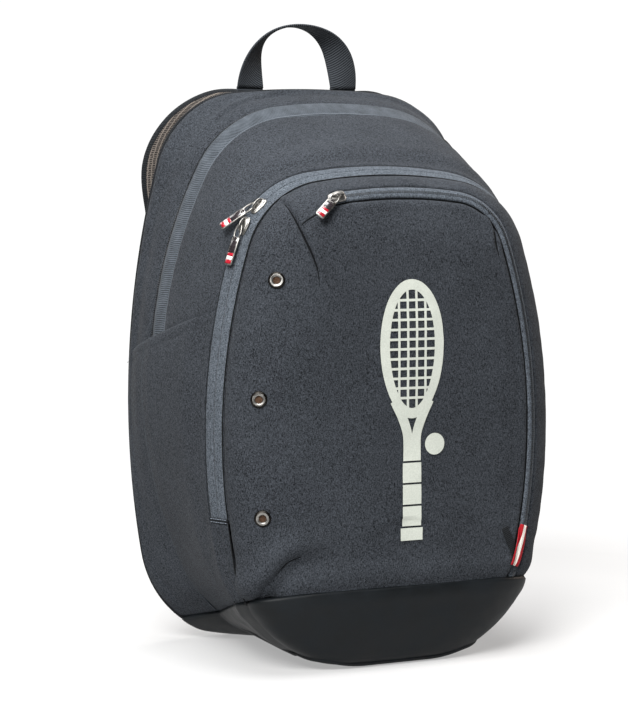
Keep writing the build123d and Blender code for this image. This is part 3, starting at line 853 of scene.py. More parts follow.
def make_pocket_zip():
    """Two tapes of the front pocket's zip, and the plain cloth below its ends."""
    halves = (("rear", Y_POCKET_REAR + 1.0, Y_POCKET_SLIT + MEET, 1, "main_front"),
              ("front", Y_POCKET_SLIT - MEET, Y_POCKET_FRONT + 0.05, -1, "front_flap"))
    for half, y0, y1, toward, body in halves:
        tape = tape_grid(y0, y1, lambda y: ZIP_FOOT, 0.0)
        share = np.clip((Y_POCKET_REAR - tape[..., 1]) / (Y_POCKET_REAR - Y_POCKET_FRONT), 0, 1)
        line = bell(tape[..., 1] - Y_POCKET_SLIT, 0.7)
        tape = raised(tape, 1.5 * np.sin(math.pi * share) ** 0.5 - 0.5 - 0.25 * line)
        tape = skin(f"front_zip_{half}_tape", tape, TAPE, TAPE, 0.8)
        settle(tape, body, "zip_tape", f"front_zip_{half}_half")
        coil = teeth(f"front_zip_{half}_coil", Y_POCKET_SLIT + toward * SLIT, toward, ZIP_FOOT)
        settle(coil, body, "zip_tape")
    for side, name in ((-1, "left"), (1, "right")):
        depths = spaced(Y_POCKET_REAR + 0.4, Y_POCKET_FRONT + 0.6, 1.2)
        grid = side_strip(side, depths, lambda y: ZIP_FOOT, tucked, 50)
        middle = np.abs(grid[..., 1] - Y_POCKET_SLIT)
        height = into_boot(grid, 1.2 - rolled(edge_distance(grid), 1.2) - 0.8 * bell(middle, 0.9))
        panel = skin(f"{name}_zip_foot_cloth", raised(grid, height), CLOTH, LINING, 1.4)
        settle(panel, "main_front", "shell_cloth")
        tack = side_strip(side, np.linspace(Y_POCKET_REAR - 1.5, Y_POCKET_FRONT + 1.5, 12),
                          lambda y: ZIP_FOOT + 3.0, lambda y: ZIP_FOOT - 1.5, 5)
        tack = skin(f"{name}_zip_end_tape", raised(tack, 1.5), CLOTH_DARK, CLOTH_DARK, 1.0)
        settle(tack, "main_front", "zip_tape")
        for k, z in enumerate((ZIP_FOOT + 2.2, ZIP_FOOT - 0.4)):
            depths = np.linspace(Y_POCKET_REAR - 1.8, Y_POCKET_FRONT + 1.8, 10)
            line = side_strip(side, depths, lambda y: z, lambda y: z - 1.0, 2)[:, 0]
            normal = line - CORE * (0, 0, 1) - (0, 0, z - 230.0)
            normal = normal / np.linalg.norm(normal, axis=1, keepdims=True) * (1, 1, 0)
            settle(stitches(f"{name}_bartack_{k}", line + normal * 1.9, normal, PALE_THREAD, 2.2, 2.6, 0.3),
                   "main_front", "zip_tape")


def make_pocket_binding():
    """Bound seam inside the front pocket, where the zip's front tape meets the panel."""
    rows = list(tape_grid(Y_POCKET_FRONT + 2.4, Y_POCKET_FRONT + 0.3, lambda y: ZIP_FOOT, 1.7))
    for forward, inset in ((0.6, 2.4), (2.5, 3.2), (5.0, 4.2)):
        inset = inset + PANEL_INSET
        stop = end_of(lambda t: outline(POCKET, t, inset, inset)[1], ZIP_FOOT)
        x, z = outline(POCKET, np.linspace(-1, 1, TAPE_COLS) * stop, inset, inset)
        rows.append(np.stack([x, np.full(TAPE_COLS, Y_POCKET_FRONT - forward), z], -1))
    settle(skin("front_pocket_seam_binding", np.stack(rows), BINDING, BINDING, 1.2), "front_flap", "binding")


def groove(name, y, low, body, depth, material=SEAM_SHADE, half=0.6):
    """A thin strip along a seam's groove; in a dark material it is painted shade of the groove."""
    grid = tape_grid(y + half, y - half, lambda row: low, depth)
    return settle(skin(name, grid, material, SEAM_SHADE, 0.4), body, "shell_cloth")


def seam_on_front(name, line, width, lift):
    """A dark line along (x, z) points of the front panel: painted shade of a seam's or dart's groove."""
    line = resample(curve_through(line, 6), 1.2)
    grid = band(line, width * np.sin(np.linspace(0.35, math.pi - 0.12, len(line))), 3)
    at, _ = on_front(grid[..., 0].ravel(), grid[..., 1].ravel(), lift)
    obj = skin(name, at.reshape(grid.shape[:2] + (3,)), SEAM_SHADE, SEAM_SHADE, 0.3)
    return settle(obj, "front_flap", "shell_cloth")


def make_seams():
    """Dark strips along the seams round the front zip and on the front panel, painted shade of their grooves,
    and a pale strip along the main zip's flap edge.
    """
    # A darker cloth strip on the outer seam of the front zip: painted shade of the groove.
    groove("front_zip_outer_seam_shade", Y_POCKET_REAR, 24.0, "main_front", -0.1, CLOTH_DARK, 0.45)
    groove("front_zip_inner_seam_shade", Y_POCKET_FRONT + 0.7, ZIP_FOOT, "front_flap", -0.5)
    for side, name in ((-1, "left"), (1, "right")):
        foot = side_strip(side, np.array((1.3, 0.1)) + Y_POCKET_FRONT, lambda y: ZIP_FOOT,
                          lambda y: boot_top(y) - 2.0, 60)
        foot = raised(foot, 0.9 + 1.9 * ease(ZIP_FOOT - foot[..., 2], 8.0, 60.0))
        foot = skin(f"{name}_foot_seam_shade", foot, SEAM_SHADE, SEAM_SHADE, 0.4)
        settle(foot, "main_front", "shell_cloth")
    flap_low = pocket_top(MAIN_BAND_FRONT) - 20.0
    groove("main_zip_flap_edge", MAIN_BAND_FRONT, flap_low, "main_front", 0.1, SEAM_PALE)
    seam_on_front("corner_dart_seam_shade", LEFT_SEAM, 1.5, 0.35)
    seam_on_front("corner_short_seam_shade", SHORT_SEAM, 1.0, 0.35)
    seam_on_front("right_dart_seam_shade", RIGHT_DART, 1.6, 0.5)
    seam_on_front("foot_dart_seam_shade", DART[:6], 1.8, 0.7)
    # Dark strips along both edges of the small zip: painted shade of the seams beside it.
    for k, inset in enumerate((-0.2, SMALL_ZIP_WIDTH + 0.2)):
        line = small_zip_line(inset)
        edge = ribbon_on_front(f"small_zip_seam_shade_{k}", line, 1.5, -0.5, SEAM_SHADE, 5, 0.0, 0.4)
        settle(edge, "front_flap", "zip_tape")


# ---------------------------------------------------------------- front panel
# x, z points along the creases and seams
DART = [(-126, 62), (-122.5, 74), (-115, 84), (-109, 91.5), (-104, 96), (-95, 99.5), (-80, 101), (-62, 99)]
LEFT_SEAM = [(-99, 384), (-96.5, 376), (-92.5, 364), (-87, 350), (-83, 340), (-80, 330), (-79, 318)]
SHORT_SEAM = [(-91.5, 366), (-88, 369), (-82, 373), (-74, 377), (-66, 380.5)]
RIGHT_DART = [(82.5, 371), (84, 361), (85, 350), (86.5, 338)]
SMALL_ZIP_WIDTH = 8.5
SMALL_ZIP_START = -60.0


def small_zip_line(inset, step=1.5, x_start=SMALL_ZIP_START, z_end=64.0):
    """x, z along the small pocket's zip: across the top and down the right side."""
    t = np.linspace(-SHARES[2], SHARES[4], 1600)
    x, z = outline(SMALL, t, inset, inset)
    keep = (x >= x_start) & (z >= z_end)
    return resample(np.stack([x[keep], z[keep]], -1), step)


def front_relief(x, z):
    """Height of the folds, darts, seams and padding of the front panel."""
    at = np.stack([x, z], -1)
    height = 0.55 * soft_noise(np.stack([x, z, 0 * x], -1), 120.0, 11)
    height = height + 0.16 * soft_noise(np.stack([x, z, 0 * x], -1), 22.0, 12)
    distance, along = path_distance(at, DART)
    fade = 1 - ease(along, 0.45, 1.0)
    sharp = 1 - ease(along, 0.35, 0.75)
    height += fade * (5.0 * bell(distance - 9.0, 11.0) - 5.0 * bell(distance + 7.0, 9.0))
    height -= sharp * 2.6 * bell(distance, 1.6)
    distance, along = path_distance(at, LEFT_SEAM)
    fade = 1 - ease(along, 0.7, 1.0)
    height += fade * (-2.2 * bell(distance, 1.4) + 1.6 * bell(distance - 5.0, 5.0)
                      + 0.9 * bell(distance + 5.0, 5.0))
    distance, along = path_distance(at, RIGHT_DART)
    fade = 1 - ease(along, 0.55, 1.0)
    height += fade * (-3.0 * bell(distance, 1.5) + 1.6 * bell(distance + 4.5, 4.0)
                      + 0.8 * bell(distance - 5.0, 5.0))
    reach = outline_gap(x, z)
    gap = np.abs(reach - SMALL_ZIP_WIDTH / 2) - SMALL_ZIP_WIDTH / 2
    on_zip = ease(x, SMALL_ZIP_START - 4.0, SMALL_ZIP_START) * (z > 60.0)
    on_zip = on_zip * np.where((x < 0) & (z < 330), 0.0, 1.0)
    height -= on_zip * 2.0 * bell(gap, 1.3)
    height += on_zip * 0.9 * bell(gap - 5.0, 4.0) * (reach > SMALL_ZIP_WIDTH)
    rim = front_inset(x, z) - PANEL_INSET
    puckers = np.sin(x / 9.5 + 1.2 * np.sin(x / 23.0)) * bell(rim - 4.0, 3.2)
    height += 1.1 * puckers * ease(x, -10.0, 18.0) * (1 - ease(x, 62.0, 76.0)) * ease(z, 360.0, 380.0)
    return height


def outline_gap(x, z):
    """Distance inside the small pocket's outline."""
    centres, radii, angles = arcs_of(SMALL)
    ax = np.abs(x)
    gap = [radii[k] - np.hypot(ax - centres[k][0], z - centres[k][1]) for k in range(4)]
    about = np.arctan2(z - centres[1][1], ax - centres[1][0])
    inside = (ax < centres[1][0]) & (z < centres[1][1])
    found = np.where(about > angles[1], gap[0], np.where(about < angles[2], gap[2], gap[1]))
    return np.where(inside, np.minimum(gap[0], gap[2]), found)


def dome_row(share):
    """Inset from the pocket's outline and y of the dome's row at a share of its curl."""
    grow = math.cos(share * math.pi / 2) ** (2 / DOME_ROUND)
    reach = math.sin(share * math.pi / 2) ** (2 / DOME_ROUND)
    return PANEL_INSET + DOME_WIDTH * (1 - grow), Y_POCKET_FRONT - (Y_POCKET_FRONT - Y_FRONT) * reach


def crowned(x, z, above_boot):
    """Fullness of the front's middle and of the fold over the boot."""
    full = 2.2 * ease(front_inset(x, z), 60.0, 135.0)
    return full, 1.6 * bell(above_boot - 12.0, 9.0) - 1.0 * bell(above_boot, 3.0)


def make_front_panel():
    """Domed front of the outer pocket."""
    rows = []
    cols = 760
    curl = np.concatenate([[0.0, 0.004, 0.012], np.linspace(0.03, 1.0, 76)])
    for share in curl:
        inset, y = dome_row(share)
        floor = dome_floor(inset)
        stop = end_of(lambda t: outline(POCKET, t, inset, floor)[1], boot_top(y) - 2.0)
        x, z = outline(POCKET, np.linspace(-1, 1, cols) * stop, inset, floor)
        rows.append(np.stack([x, np.full(cols, y), z], -1))
    rim = rows[-1]
    anchor = np.array((0.0, Y_FRONT, BOOT_FRONT_Z - 2.0))
    for size in np.linspace(1.0, 0.0005, 100)[1:]:
        rows.append(anchor + (rim - anchor) * size)
    grid = np.stack(rows)
    normal = normals_of(grid)
    flat = grid[..., 1] < Y_FRONT + 0.02
    normal[flat] = (0, -1, 0)
    edge = edge_distance(grid, True, False)
    height = front_relief(grid[..., 0], grid[..., 2]) * ease(edge, 0.0, 3.0) - rolled(edge, 2.0)
    full, fold = crowned(grid[..., 0], grid[..., 2], grid[..., 2] - boot_top(grid[..., 1]))
    grid = grid + normal * (height + full + fold)[..., None]
    lay = np.stack([grid[..., 0], grid[..., 2], 0 * grid[..., 0]], -1)
    obj = skin("front_panel_cloth", grid, CLOTH, LINING, 2.2, lay)
    return settle(obj, "front_flap", "shell_cloth", "front_panel")


def on_front(x, z, lift=0.0):
    """A point on the front panel's cloth, with its normal."""
    full, fold = crowned(x, z, z - boot_top(dome_depth(front_inset(x, z))))
    return front_point(x, z, np.asarray(lift) + front_relief(x, z) + full + fold)


def ribbon_on_front(name, line, width, lift, material, lines=9, crown=0.5, thick=0.9):
    """A strip of tape lying on the front panel along an (x, z) line."""
    tangent = directions(line)
    side = np.stack([-tangent[:, 1], tangent[:, 0]], -1)
    rows = []
    for share in np.linspace(-1, 1, lines):
        at = line + side * width / 2 * share
        points, n = front_point(at[:, 0], at[:, 1])
        rows.append(points + n * (lift + crown * (1 - share ** 2) - 0.8 * abs(share) ** 6))
    return skin(name, np.stack(rows), material, material, thick)


def make_small_zip():
    """Zip of the flat pocket on the front panel."""
    line = small_zip_line(SMALL_ZIP_WIDTH / 2)
    tape = ribbon_on_front("small_zip_tape", line, SMALL_ZIP_WIDTH, 0.7, TAPE)
    settle(tape, "front_flap", "zip_tape", "small_pocket_zip")
    points, faces = [], []
    fine = resample(line, 1.7)
    centre, normal = front_point(fine[:, 0], fine[:, 1], 1.25)
    tangent = directions(centre)
    across = np.cross(tangent, normal)
    for c, t, a, n in zip(centre, tangent, across, normal):
        base = len(points)
        for reach in (-1.1, 1.1):
            for u, v in ((-0.45, -0.4), (0.45, -0.4), (0.35, 0.4), (-0.35, 0.4)):
                points.append(c + a * reach + t * u + n * v)
        faces += [(base, base + 1, base + 5, base + 4), (base + 1, base + 2, base + 6, base + 5),
                  (base + 2, base + 3, base + 7, base + 6), (base + 3, base, base + 4, base + 7),
                  (base + 3, base + 2, base + 1, base), (base + 4, base + 5, base + 6, base + 7)]
    coil = tidy_normals(mesh_object("small_zip_coil", points, faces, [COIL], smooth=False))
    settle(coil, "front_flap", "zip_tape")


# ---------------------------------------------------------------- boot
def make_boot():
    """Coated base: the walls' outlines below the hem, closed across the back and the front."""
    w = np.concatenate([np.linspace(0, 0.30, 14)[:-1], np.linspace(0.30, 1.0, 96)])
    w = np.concatenate([-w[::-1], w[1:]])
    rows = []

    def add(curve, y, lift=0.0):
        stop = end_of(lambda t: curve(t)[1], boot_top(y) + lift)
        t = np.sign(w + 1e-9) * (1 - np.abs(w) * (1 - stop))
        x, z = curve(t)
        rows.append(np.stack([x, np.full(len(w), y), z], -1))

    beside = spaced(Y_SEAM, Y_POCKET_REAR, 3.0)[1:]
    for y in np.concatenate([[Y_BACK], beside, np.linspace(Y_POCKET_REAR, Y_POCKET_FRONT, 10)[1:]]):
        add(lambda t: (shell(t, y)[..., 0], shell(t, y)[..., 2]), y)
    for share in np.linspace(0.03, 1.0, 46):
        inset, y = dome_row(share)
        floor = dome_floor(inset)
        if floor < boot_top(y) - 1.0:
            add(lambda t: outline(POCKET, t, inset, floor), y)

    def upright(row, top_z, shares):
        """Copies of a row, drawn up towards a height."""
        return [row * (1, 1, 0) + (0, 0, 1) * (row[:, 2:] + (top_z - row[:, 2:]) * s) for s in shares]

    back = upright(rows[0], BOOT_BACK_Z, (1.0, 0.75, 0.5, 0.25))
    front = upright(rows[-1], boot_top(rows[-1][0, 1]), (0.35, 0.7, 1.0))
    grid = np.stack(back + rows + front)
    normal = normals_of(grid)
    below = boot_top(grid[..., 1]) - grid[..., 2]
    height = 1.4 - rolled(np.clip(below, 0, None), 2.6)
    height += 1.1 * bell(below - 9.0, 7.0)
    flat_base = ease(grid[..., 2], 1.0, 9.0)
    uneven = 0.5 * soft_noise(grid, 80.0, 21) + 0.1 * soft_noise(grid, 20.0, 22)
    height = height * flat_base + flat_base * uneven
    grid = grid + normal * height[..., None]
    grid[..., 2] = np.maximum(grid[..., 2], 0.0)
    obj = skin("boot_cloth", grid, BOOT, LINING, 2.4)
    return settle(obj, "pack_body", "coated_base", "boot")


def underside(x, y):
    """Height of the boot's underside at (x, y)."""
    x = np.abs(x)
    s = np.clip((Y_POCKET_FRONT - y) / (Y_POCKET_FRONT - Y_FRONT), 0, 0.995)
    curl = 1 - (1 - s ** DOME_ROUND) ** (1 / DOME_ROUND)
    inset = np.where(y < Y_POCKET_FRONT, PANEL_INSET + DOME_WIDTH * curl, 0.0)
    floor = np.where(y < Y_POCKET_FRONT, dome_floor(inset), 0.0)
    share = np.clip((Y_ZIP_FRONT - y) / (Y_ZIP_FRONT - Y_POCKET_REAR), 0, 1)
    radius = ZIP["foot"] + (POCKET["foot"] - ZIP["foot"]) * share - inset
    foot_x = 26.5 + 2.9 * share
    out = np.clip(x - foot_x, 0, radius - 1)
    return floor + radius - np.sqrt(radius ** 2 - out ** 2)


def make_base_piping():
    """Piping round the edge of the base that the pack stands on."""
    half, front, back, corner = 87.0, -81.0, 84.0, 30.0
    path = []
    for cx, cy, start in ((half - corner, back - corner, 0), (-half + corner, back - corner, 90),
                          (-half + corner, front + corner, 180), (half - corner, front + corner, 270)):
        for angle in np.radians(np.linspace(start, start + 90, 12)):
            path.append((cx + corner * math.cos(angle), cy + corner * math.sin(angle)))
    path = resample(np.array(path + path[:1]), 3.0)[:-1]
    z = underside(path[:, 0], path[:, 1])
    line = np.stack([path[:, 0], path[:, 1], np.maximum(z, 2.3)], -1)
    obj = sweep("base_piping", line, circle(2.3), (0, 0, 1), BOOT, closed=True)
    return settle(obj, "pack_body", "coated_base")


# ---------------------------------------------------------------- side pockets
POCKET_FULL = 4.5          # how far a side pocket swells
HEM_ROW = 9.5              # depth of the stitch row below its top edge


def pocket_height(grid):
    """How far a side pocket's sheet stands off the wall."""
    y = grid[..., 1]
    drop = pocket_top(y) - grid[..., 2]
    lower = ease(grid[..., 2] - boot_top(y), 0.0, 45.0)
    swell = ease(y, Y_POCKET_REAR, -12.0)
    height = 0.9 + POCKET_FULL * 0.8 * swell * lower
    height += 0.8 * bell(drop - 60.0, 45.0) * swell
    height += 0.5 * soft_noise(grid, 90.0, 31) * swell + 0.12 * soft_noise(grid, 18.0, 32)
    return height


def into_boot(grid, height):
    """Draws a sheet's foot inside the boot's hem."""
    above = grid[..., 2] - boot_top(grid[..., 1])
    return height * ease(above, 0.0, 22.0) - 1.8 * (1 - ease(above, -2.0, 3.0))


def unit(vector):
    """A vector scaled to length 1."""
    return np.asarray(vector, float) / np.linalg.norm(vector)


def make_side_pocket(side, name):
    """Side pocket: a front sheet on no moving body, a rear sheet, its edge seam and hem stitches."""
    depths = spaced(Y_ZIP_REAR, Y_POCKET_REAR + 0.5, 1.9)
    grid = side_strip(side, depths, pocket_top, tucked, 150)
    height = pocket_height(grid)
    edge = edge_distance(grid)
    top = pocket_top(grid[..., 1]) - grid[..., 2]
    height -= rolled(edge, 0.7) + rolled(np.clip(top, 0, None), 1.2)
    height -= 0.5 * bell(top - HEM_ROW, 0.9)
    height = into_boot(grid, height)
    sheet = skin(f"{name}_pocket_cloth", raised(grid, height), CLOTH, LINING, 1.4)
    settle(sheet, None, "shell_cloth", f"{name}_side_pocket", f"{name}_pocket_binding")
    sheet.modifiers.clear()
    stretched(sheet)
    edge = side_strip(side, np.array((1.2, 0.0)) + Y_ZIP_REAR, lambda y: pocket_top(y) - 1.0,
                      lambda y: boot_top(y) + 2.0, 120)
    edge = raised(edge, np.maximum(pocket_height(edge), 1.0) + 0.1)
    edge = skin(f"{name}_pocket_edge_seam", edge, EDGE_THREAD, EDGE_THREAD, 0.6)
    settle(edge, "pack_body", "shell_cloth")
    depths = spaced(Y_SEAM - 0.3, Y_ZIP_REAR + 0.4, 1.9)
    rear = side_strip(side, depths, pocket_top, tucked, 150)
    height = pocket_height(rear) * (1 - 0.6 * ease(rear[..., 1], Y_ZIP_REAR + 10.0, Y_SEAM))
    top = pocket_top(rear[..., 1]) - rear[..., 2]
    height -= rolled(edge_distance(rear), 0.7) + rolled(np.clip(top, 0, None), 1.2)
    height -= 0.5 * bell(top - HEM_ROW, 0.9)
    height = into_boot(rear, height)
    rear_sheet = skin(f"{name}_pocket_rear_cloth", raised(rear, height), CLOTH, LINING, 1.4)
    settle(rear_sheet, "pack_body", "shell_cloth", f"{name}_pocket_rear", f"{name}_binding_rear")
    surfaces = {"front": raised(grid, pocket_height(grid) - 0.4),
                "rear": raised(rear, np.full(rear.shape[:2], 3.4))}
    for part, surface in surfaces.items():
        nearest = [np.argmin(np.abs(pocket_top(row[:, 1]) - HEM_ROW - row[:, 2])) for row in surface]
        line = surface[np.arange(len(surface)), nearest][2:-2]
        line[:, 2] = pocket_top(line[:, 1]) - HEM_ROW
        normal = unit(line.mean(0) * (1, 0, 0))
        row = stitches(f"{name}_pocket_stitch_{part}", resample(line, 1.0), normal, THREAD, 2.4, 3.3, 0.28)
        if part == "rear":
            settle(row, "pack_body", "shell_cloth")
        else:
            settle(row, None, "shell_cloth")
            stretched(row)


# ---------------------------------------------------------------- hardware
def block(name, low, high, material, bevel=0.3, segments=2):
    """A box with rounded edges."""
    box = bmesh.new()
    bmesh.ops.create_cube(box, size=1.0)
    low, high = np.array(low, float), np.array(high, float)
    for vertex in box.verts:
        vertex.co = Vector((low + high) / 2 + np.array(vertex.co) * (high - low))
    if bevel:
        bmesh.ops.bevel(box, geom=box.edges, offset=bevel, segments=segments, affect="EDGES", profile=0.5)
    points = [tuple(v.co) for v in box.verts]
    box.verts.index_update()
    faces = [tuple(v.index for v in f.verts) for f in box.faces]
    box.free()
    return mesh_object(name, points, faces, [material], smooth=False)


def lathe(name, profile, material, sides=40):
    """A profile of (radius, height) turned about z."""
    angle = np.arange(sides) * 2 * math.pi / sides
    rows = [np.stack([r * np.cos(angle), r * np.sin(angle), np.full(sides, z)], -1) for r, z in profile]
    faces = grid_faces(len(profile), sides, True)
    return tidy_normals(mesh_object(name, np.vstack(rows), faces, [material]))


def stand(obj, origin, axes):
    """Moves a piece's points from its own axes to a place on the pack."""
    place = Matrix.Identity(4)
    for k in range(3):
        place.col[k].xyz = Vector(axes[k])
    place.col[3].xyz = Vector(np.asarray(origin) * MM)
    obj.data.transform(place)
    return obj


def joint_of(name):
    """Place and axis of a joint."""
    joint = next(j for j in frame["joints"] if j["name"] == name)
    return np.array(joint["pos_m"]) / MM, unit(joint["axis"])


def outline_of_tab(start, stop, half, corner):
    """A rectangle with round corners, as points."""
    angle = np.radians(np.linspace(0, 90, 7))
    arc = np.stack([np.cos(angle), np.sin(angle)], -1) * corner
    points = [(stop - corner + a, half - corner + b) for a, b in arc]
    points += [(start + corner - b, half - corner + a) for a, b in arc]
    points += [(start + corner - a, -half + corner - b) for a, b in arc]
    points += [(stop - corner + b, -half + corner - a) for a, b in arc]
    return np.array(points)


def plate(name, outline_points, low, high, material, bevel=0.25):
    """A flat plate with rounded edges from its outline."""
    centre = outline_points.mean(0)
    rows = []
    for lift, shrink in ((low, bevel), (low + bevel, 0.0), (high - bevel, 0.0), (high, bevel)):
        inward = outline_points - centre
        reach = np.linalg.norm(inward, axis=1, keepdims=True)
        ring = outline_points - inward / reach * shrink
        rows.append(np.hstack([ring, np.full((len(ring), 1), lift)]))
    grid = np.stack(rows)
    sides = grid.shape[1]
    faces = [tuple(f) for f in grid_faces(4, sides, True)]
    faces += [tuple(range(sides))[::-1], tuple(range(3 * sides, 4 * sides))]
    return tidy_normals(mesh_object(name, grid.reshape(-1, 3), faces, [material], smooth=False))


MAIN_SLIDER_HEIGHT = 0.55  # share of the front zip's slider height


def make_zip_pull(slider, run, swing):
    """Slider body and its striped tab, from the joints that they move on."""
    anchor, hinge = joint_of(swing)
    middle, _ = joint_of(run)
    radial = (anchor - middle) * (1, 0, 1)
    along = unit(np.cross(radial, (0, 1, 0)))
    out = unit(np.cross(along, hinge))
    if out @ (anchor - CORE) < 0:
        out = -out
    forward = np.cross(out, along)
    if forward[1] > 0:
        along, forward = -along, -forward
    pull = slider.replace("slider", "pull")
    hang = unit(np.cross(hinge, out))
    low, high = low_high(pull)
    if hang @ ((low + high) / 2 - anchor) < 0:
        hang = -hang
    length = 34.0 if slider.startswith("front") else 28.0
    metal_skin = DARK_METAL if slider.startswith("main") else NICKEL
    both = slider.startswith("pocket")
    centre = anchor - out * 3.9 + forward * (0.0 if both else 1.6)
    pieces = []
    heel = [(-7.0, 3.0), (-6.2, 4.0), (-2.0, 4.3), (3.2, 3.3), (6.6, 2.2), (7.0, 1.2)]
    body = np.array(heel + [(x, -y) for x, y in heel[::-1]])
    pieces.append(plate("body", body, 0.5, 1.9, metal_skin, 0.35))
    pieces.append(plate("wing", body * (0.92, 0.86), 1.7, 2.5, metal_skin, 0.35))
    rail = [(x, y, 1.2) for x, y in body[::-1]]
    rail = resample(rail + rail[:1], 0.9)[:-1]
    pieces.append(sweep("rail", rail, circle(0.75, 8), (0, 0, 1), metal_skin, closed=True))
    bridge = [(-5.2, 0, 2.0), (-4.8, 0, 4.0), (-3.0, 0, 5.4), (0.0, 0, 5.9),
              (2.6, 0, 5.5), (4.2, 0, 4.2), (4.6, 0, 2.0)]
    bridge = curve_through(bridge, 5)
    pieces.append(sweep("bridge", bridge, circle(1.0, 10) * (1.35, 0.75), (0, 1, 0.01), metal_skin))
    body = joined(f"{slider}_metal", pieces)
    if slider.startswith("main"):
        for vertex in body.data.vertices:
            vertex.co.z *= MAIN_SLIDER_HEIGHT
    settle(stand(body, centre, (along, forward, out)), f"{slider}_body", "slider_metal", slider)

    angle = np.radians(np.arange(0, 360, 10))
    ring_length = 13.4 if not both else 10.4
    ring = [(ring_length / 2 - 0.8 + (ring_length / 2) * math.cos(a),
             3.7 * math.sin(a) * (0.85 + 0.15 * math.cos(a)), 0) for a in angle]
    pieces = [sweep("ring", ring, circle(0.85, 8), (0, 0, 1), metal_skin, closed=True)]
    start = ring_length - 3.2
    tab = outline_of_tab(start, length, 4.0, 1.6)
    pieces.append(plate("tab", tab, -0.75, 0.75, metal_skin, 0.3))
    stripes = ((start + 3.6, length - 10.2, ENAMEL_DARK), (length - 10.0, length - 7.4, ENAMEL_RED),
               (length - 7.3, length - 4.3, ENAMEL_WHITE), (length - 4.2, length - 1.1, ENAMEL_RED))
    for face in (-1, 1):
        for x0, x1, paint in stripes:
            level = sorted((face * 0.70, face * 0.92))
            pieces.append(block("inlay", (x0, -3.1, level[0]), (x1, 3.1, level[1]), paint, 0.08, 1))
        hole = lathe("eye", [(0.2, 0), (1.2, 0.02), (1.5, 0.06), (1.7, 0.0)], ENAMEL_DARK, 16)
        for vertex in hole.data.vertices:
            x, y, z = vertex.co
            vertex.co = Vector(((start + 1.9) * MM + x, y, face * (0.76 * MM + z)))
        pieces.append(hole)
    tab = joined(f"{pull}_metal", pieces)
    settle(stand(tab, anchor, (hang, np.cross(out, hang), out)), f"{pull}_body", "pull_metal", pull)


def make_eyelet_rings():
    """Eyelets: ring, flange in dark metal as painted shadow round the ring, and dark well."""
    pieces = []
    for z in (323.0, 228.0, 132.0):
        centres, radii, _ = arcs_of(POCKET)
        x = -(centres[2][0] + math.sqrt((radii[2] - 27.0) ** 2 - (z - centres[2][1]) ** 2))
        points, normal = on_front(np.array([x]), np.array([z]), 0.4)
        out = normal[0]
        side = unit(np.cross((0, 0, 1), out))
        ring = lathe("ring", [(2.9, -2.5), (2.9, 0.2), (3.2, 1.1), (4.0, 1.6), (5.2, 1.5)], NICKEL)
        # The flange is dark metal as painted shadow round each eyelet's ring.
        flange = lathe("flange", [(5.2, 1.5), (5.8, 1.2), (6.4, 0.7), (6.9, 0.0), (6.9, -0.4)], DARK_METAL)
        well = lathe("well", [(3.1, 0.05), (2.0, -0.05), (0.05, -0.1)], EYELET_DARK)
        back = lathe("washer", [(2.9, -4.2), (6.5, -4.2), (6.6, -4.8), (2.9, -5.0)], GUNMETAL)
        for piece in (ring, flange, well, back):
            pieces.append(stand(piece, points[0], (side, np.cross(out, side), out)))
    settle(joined("eyelet_rings", pieces), "front_flap", "eyelet_metal", "eyelets")


# ---------------------------------------------------------------- printed mark and tag
def patch(points_xz, lift=1.0):
    """A flat patch of ink on the front panel from a grid of (x, z)."""
    at, _ = on_front(points_xz[..., 0].ravel(), points_xz[..., 1].ravel(), lift)
    return at.reshape(points_xz.shape[:2] + (3,))


def between_curves(a, b, rows=3):
    """Rows of points from one curve to another."""
    share = np.linspace(0, 1, rows)[:, None, None]
    return a[None] + (b - a)[None] * share


def band(path, width, rows=3):
    """A flat (x, z) strip of a width along a path."""
    path = np.asarray(path, float)
    tangent = directions(path)
    side = np.stack([-tangent[:, 1], tangent[:, 0]], -1) * np.asarray(width)[..., None] / 2
    return between_curves(path - side, path + side, rows)


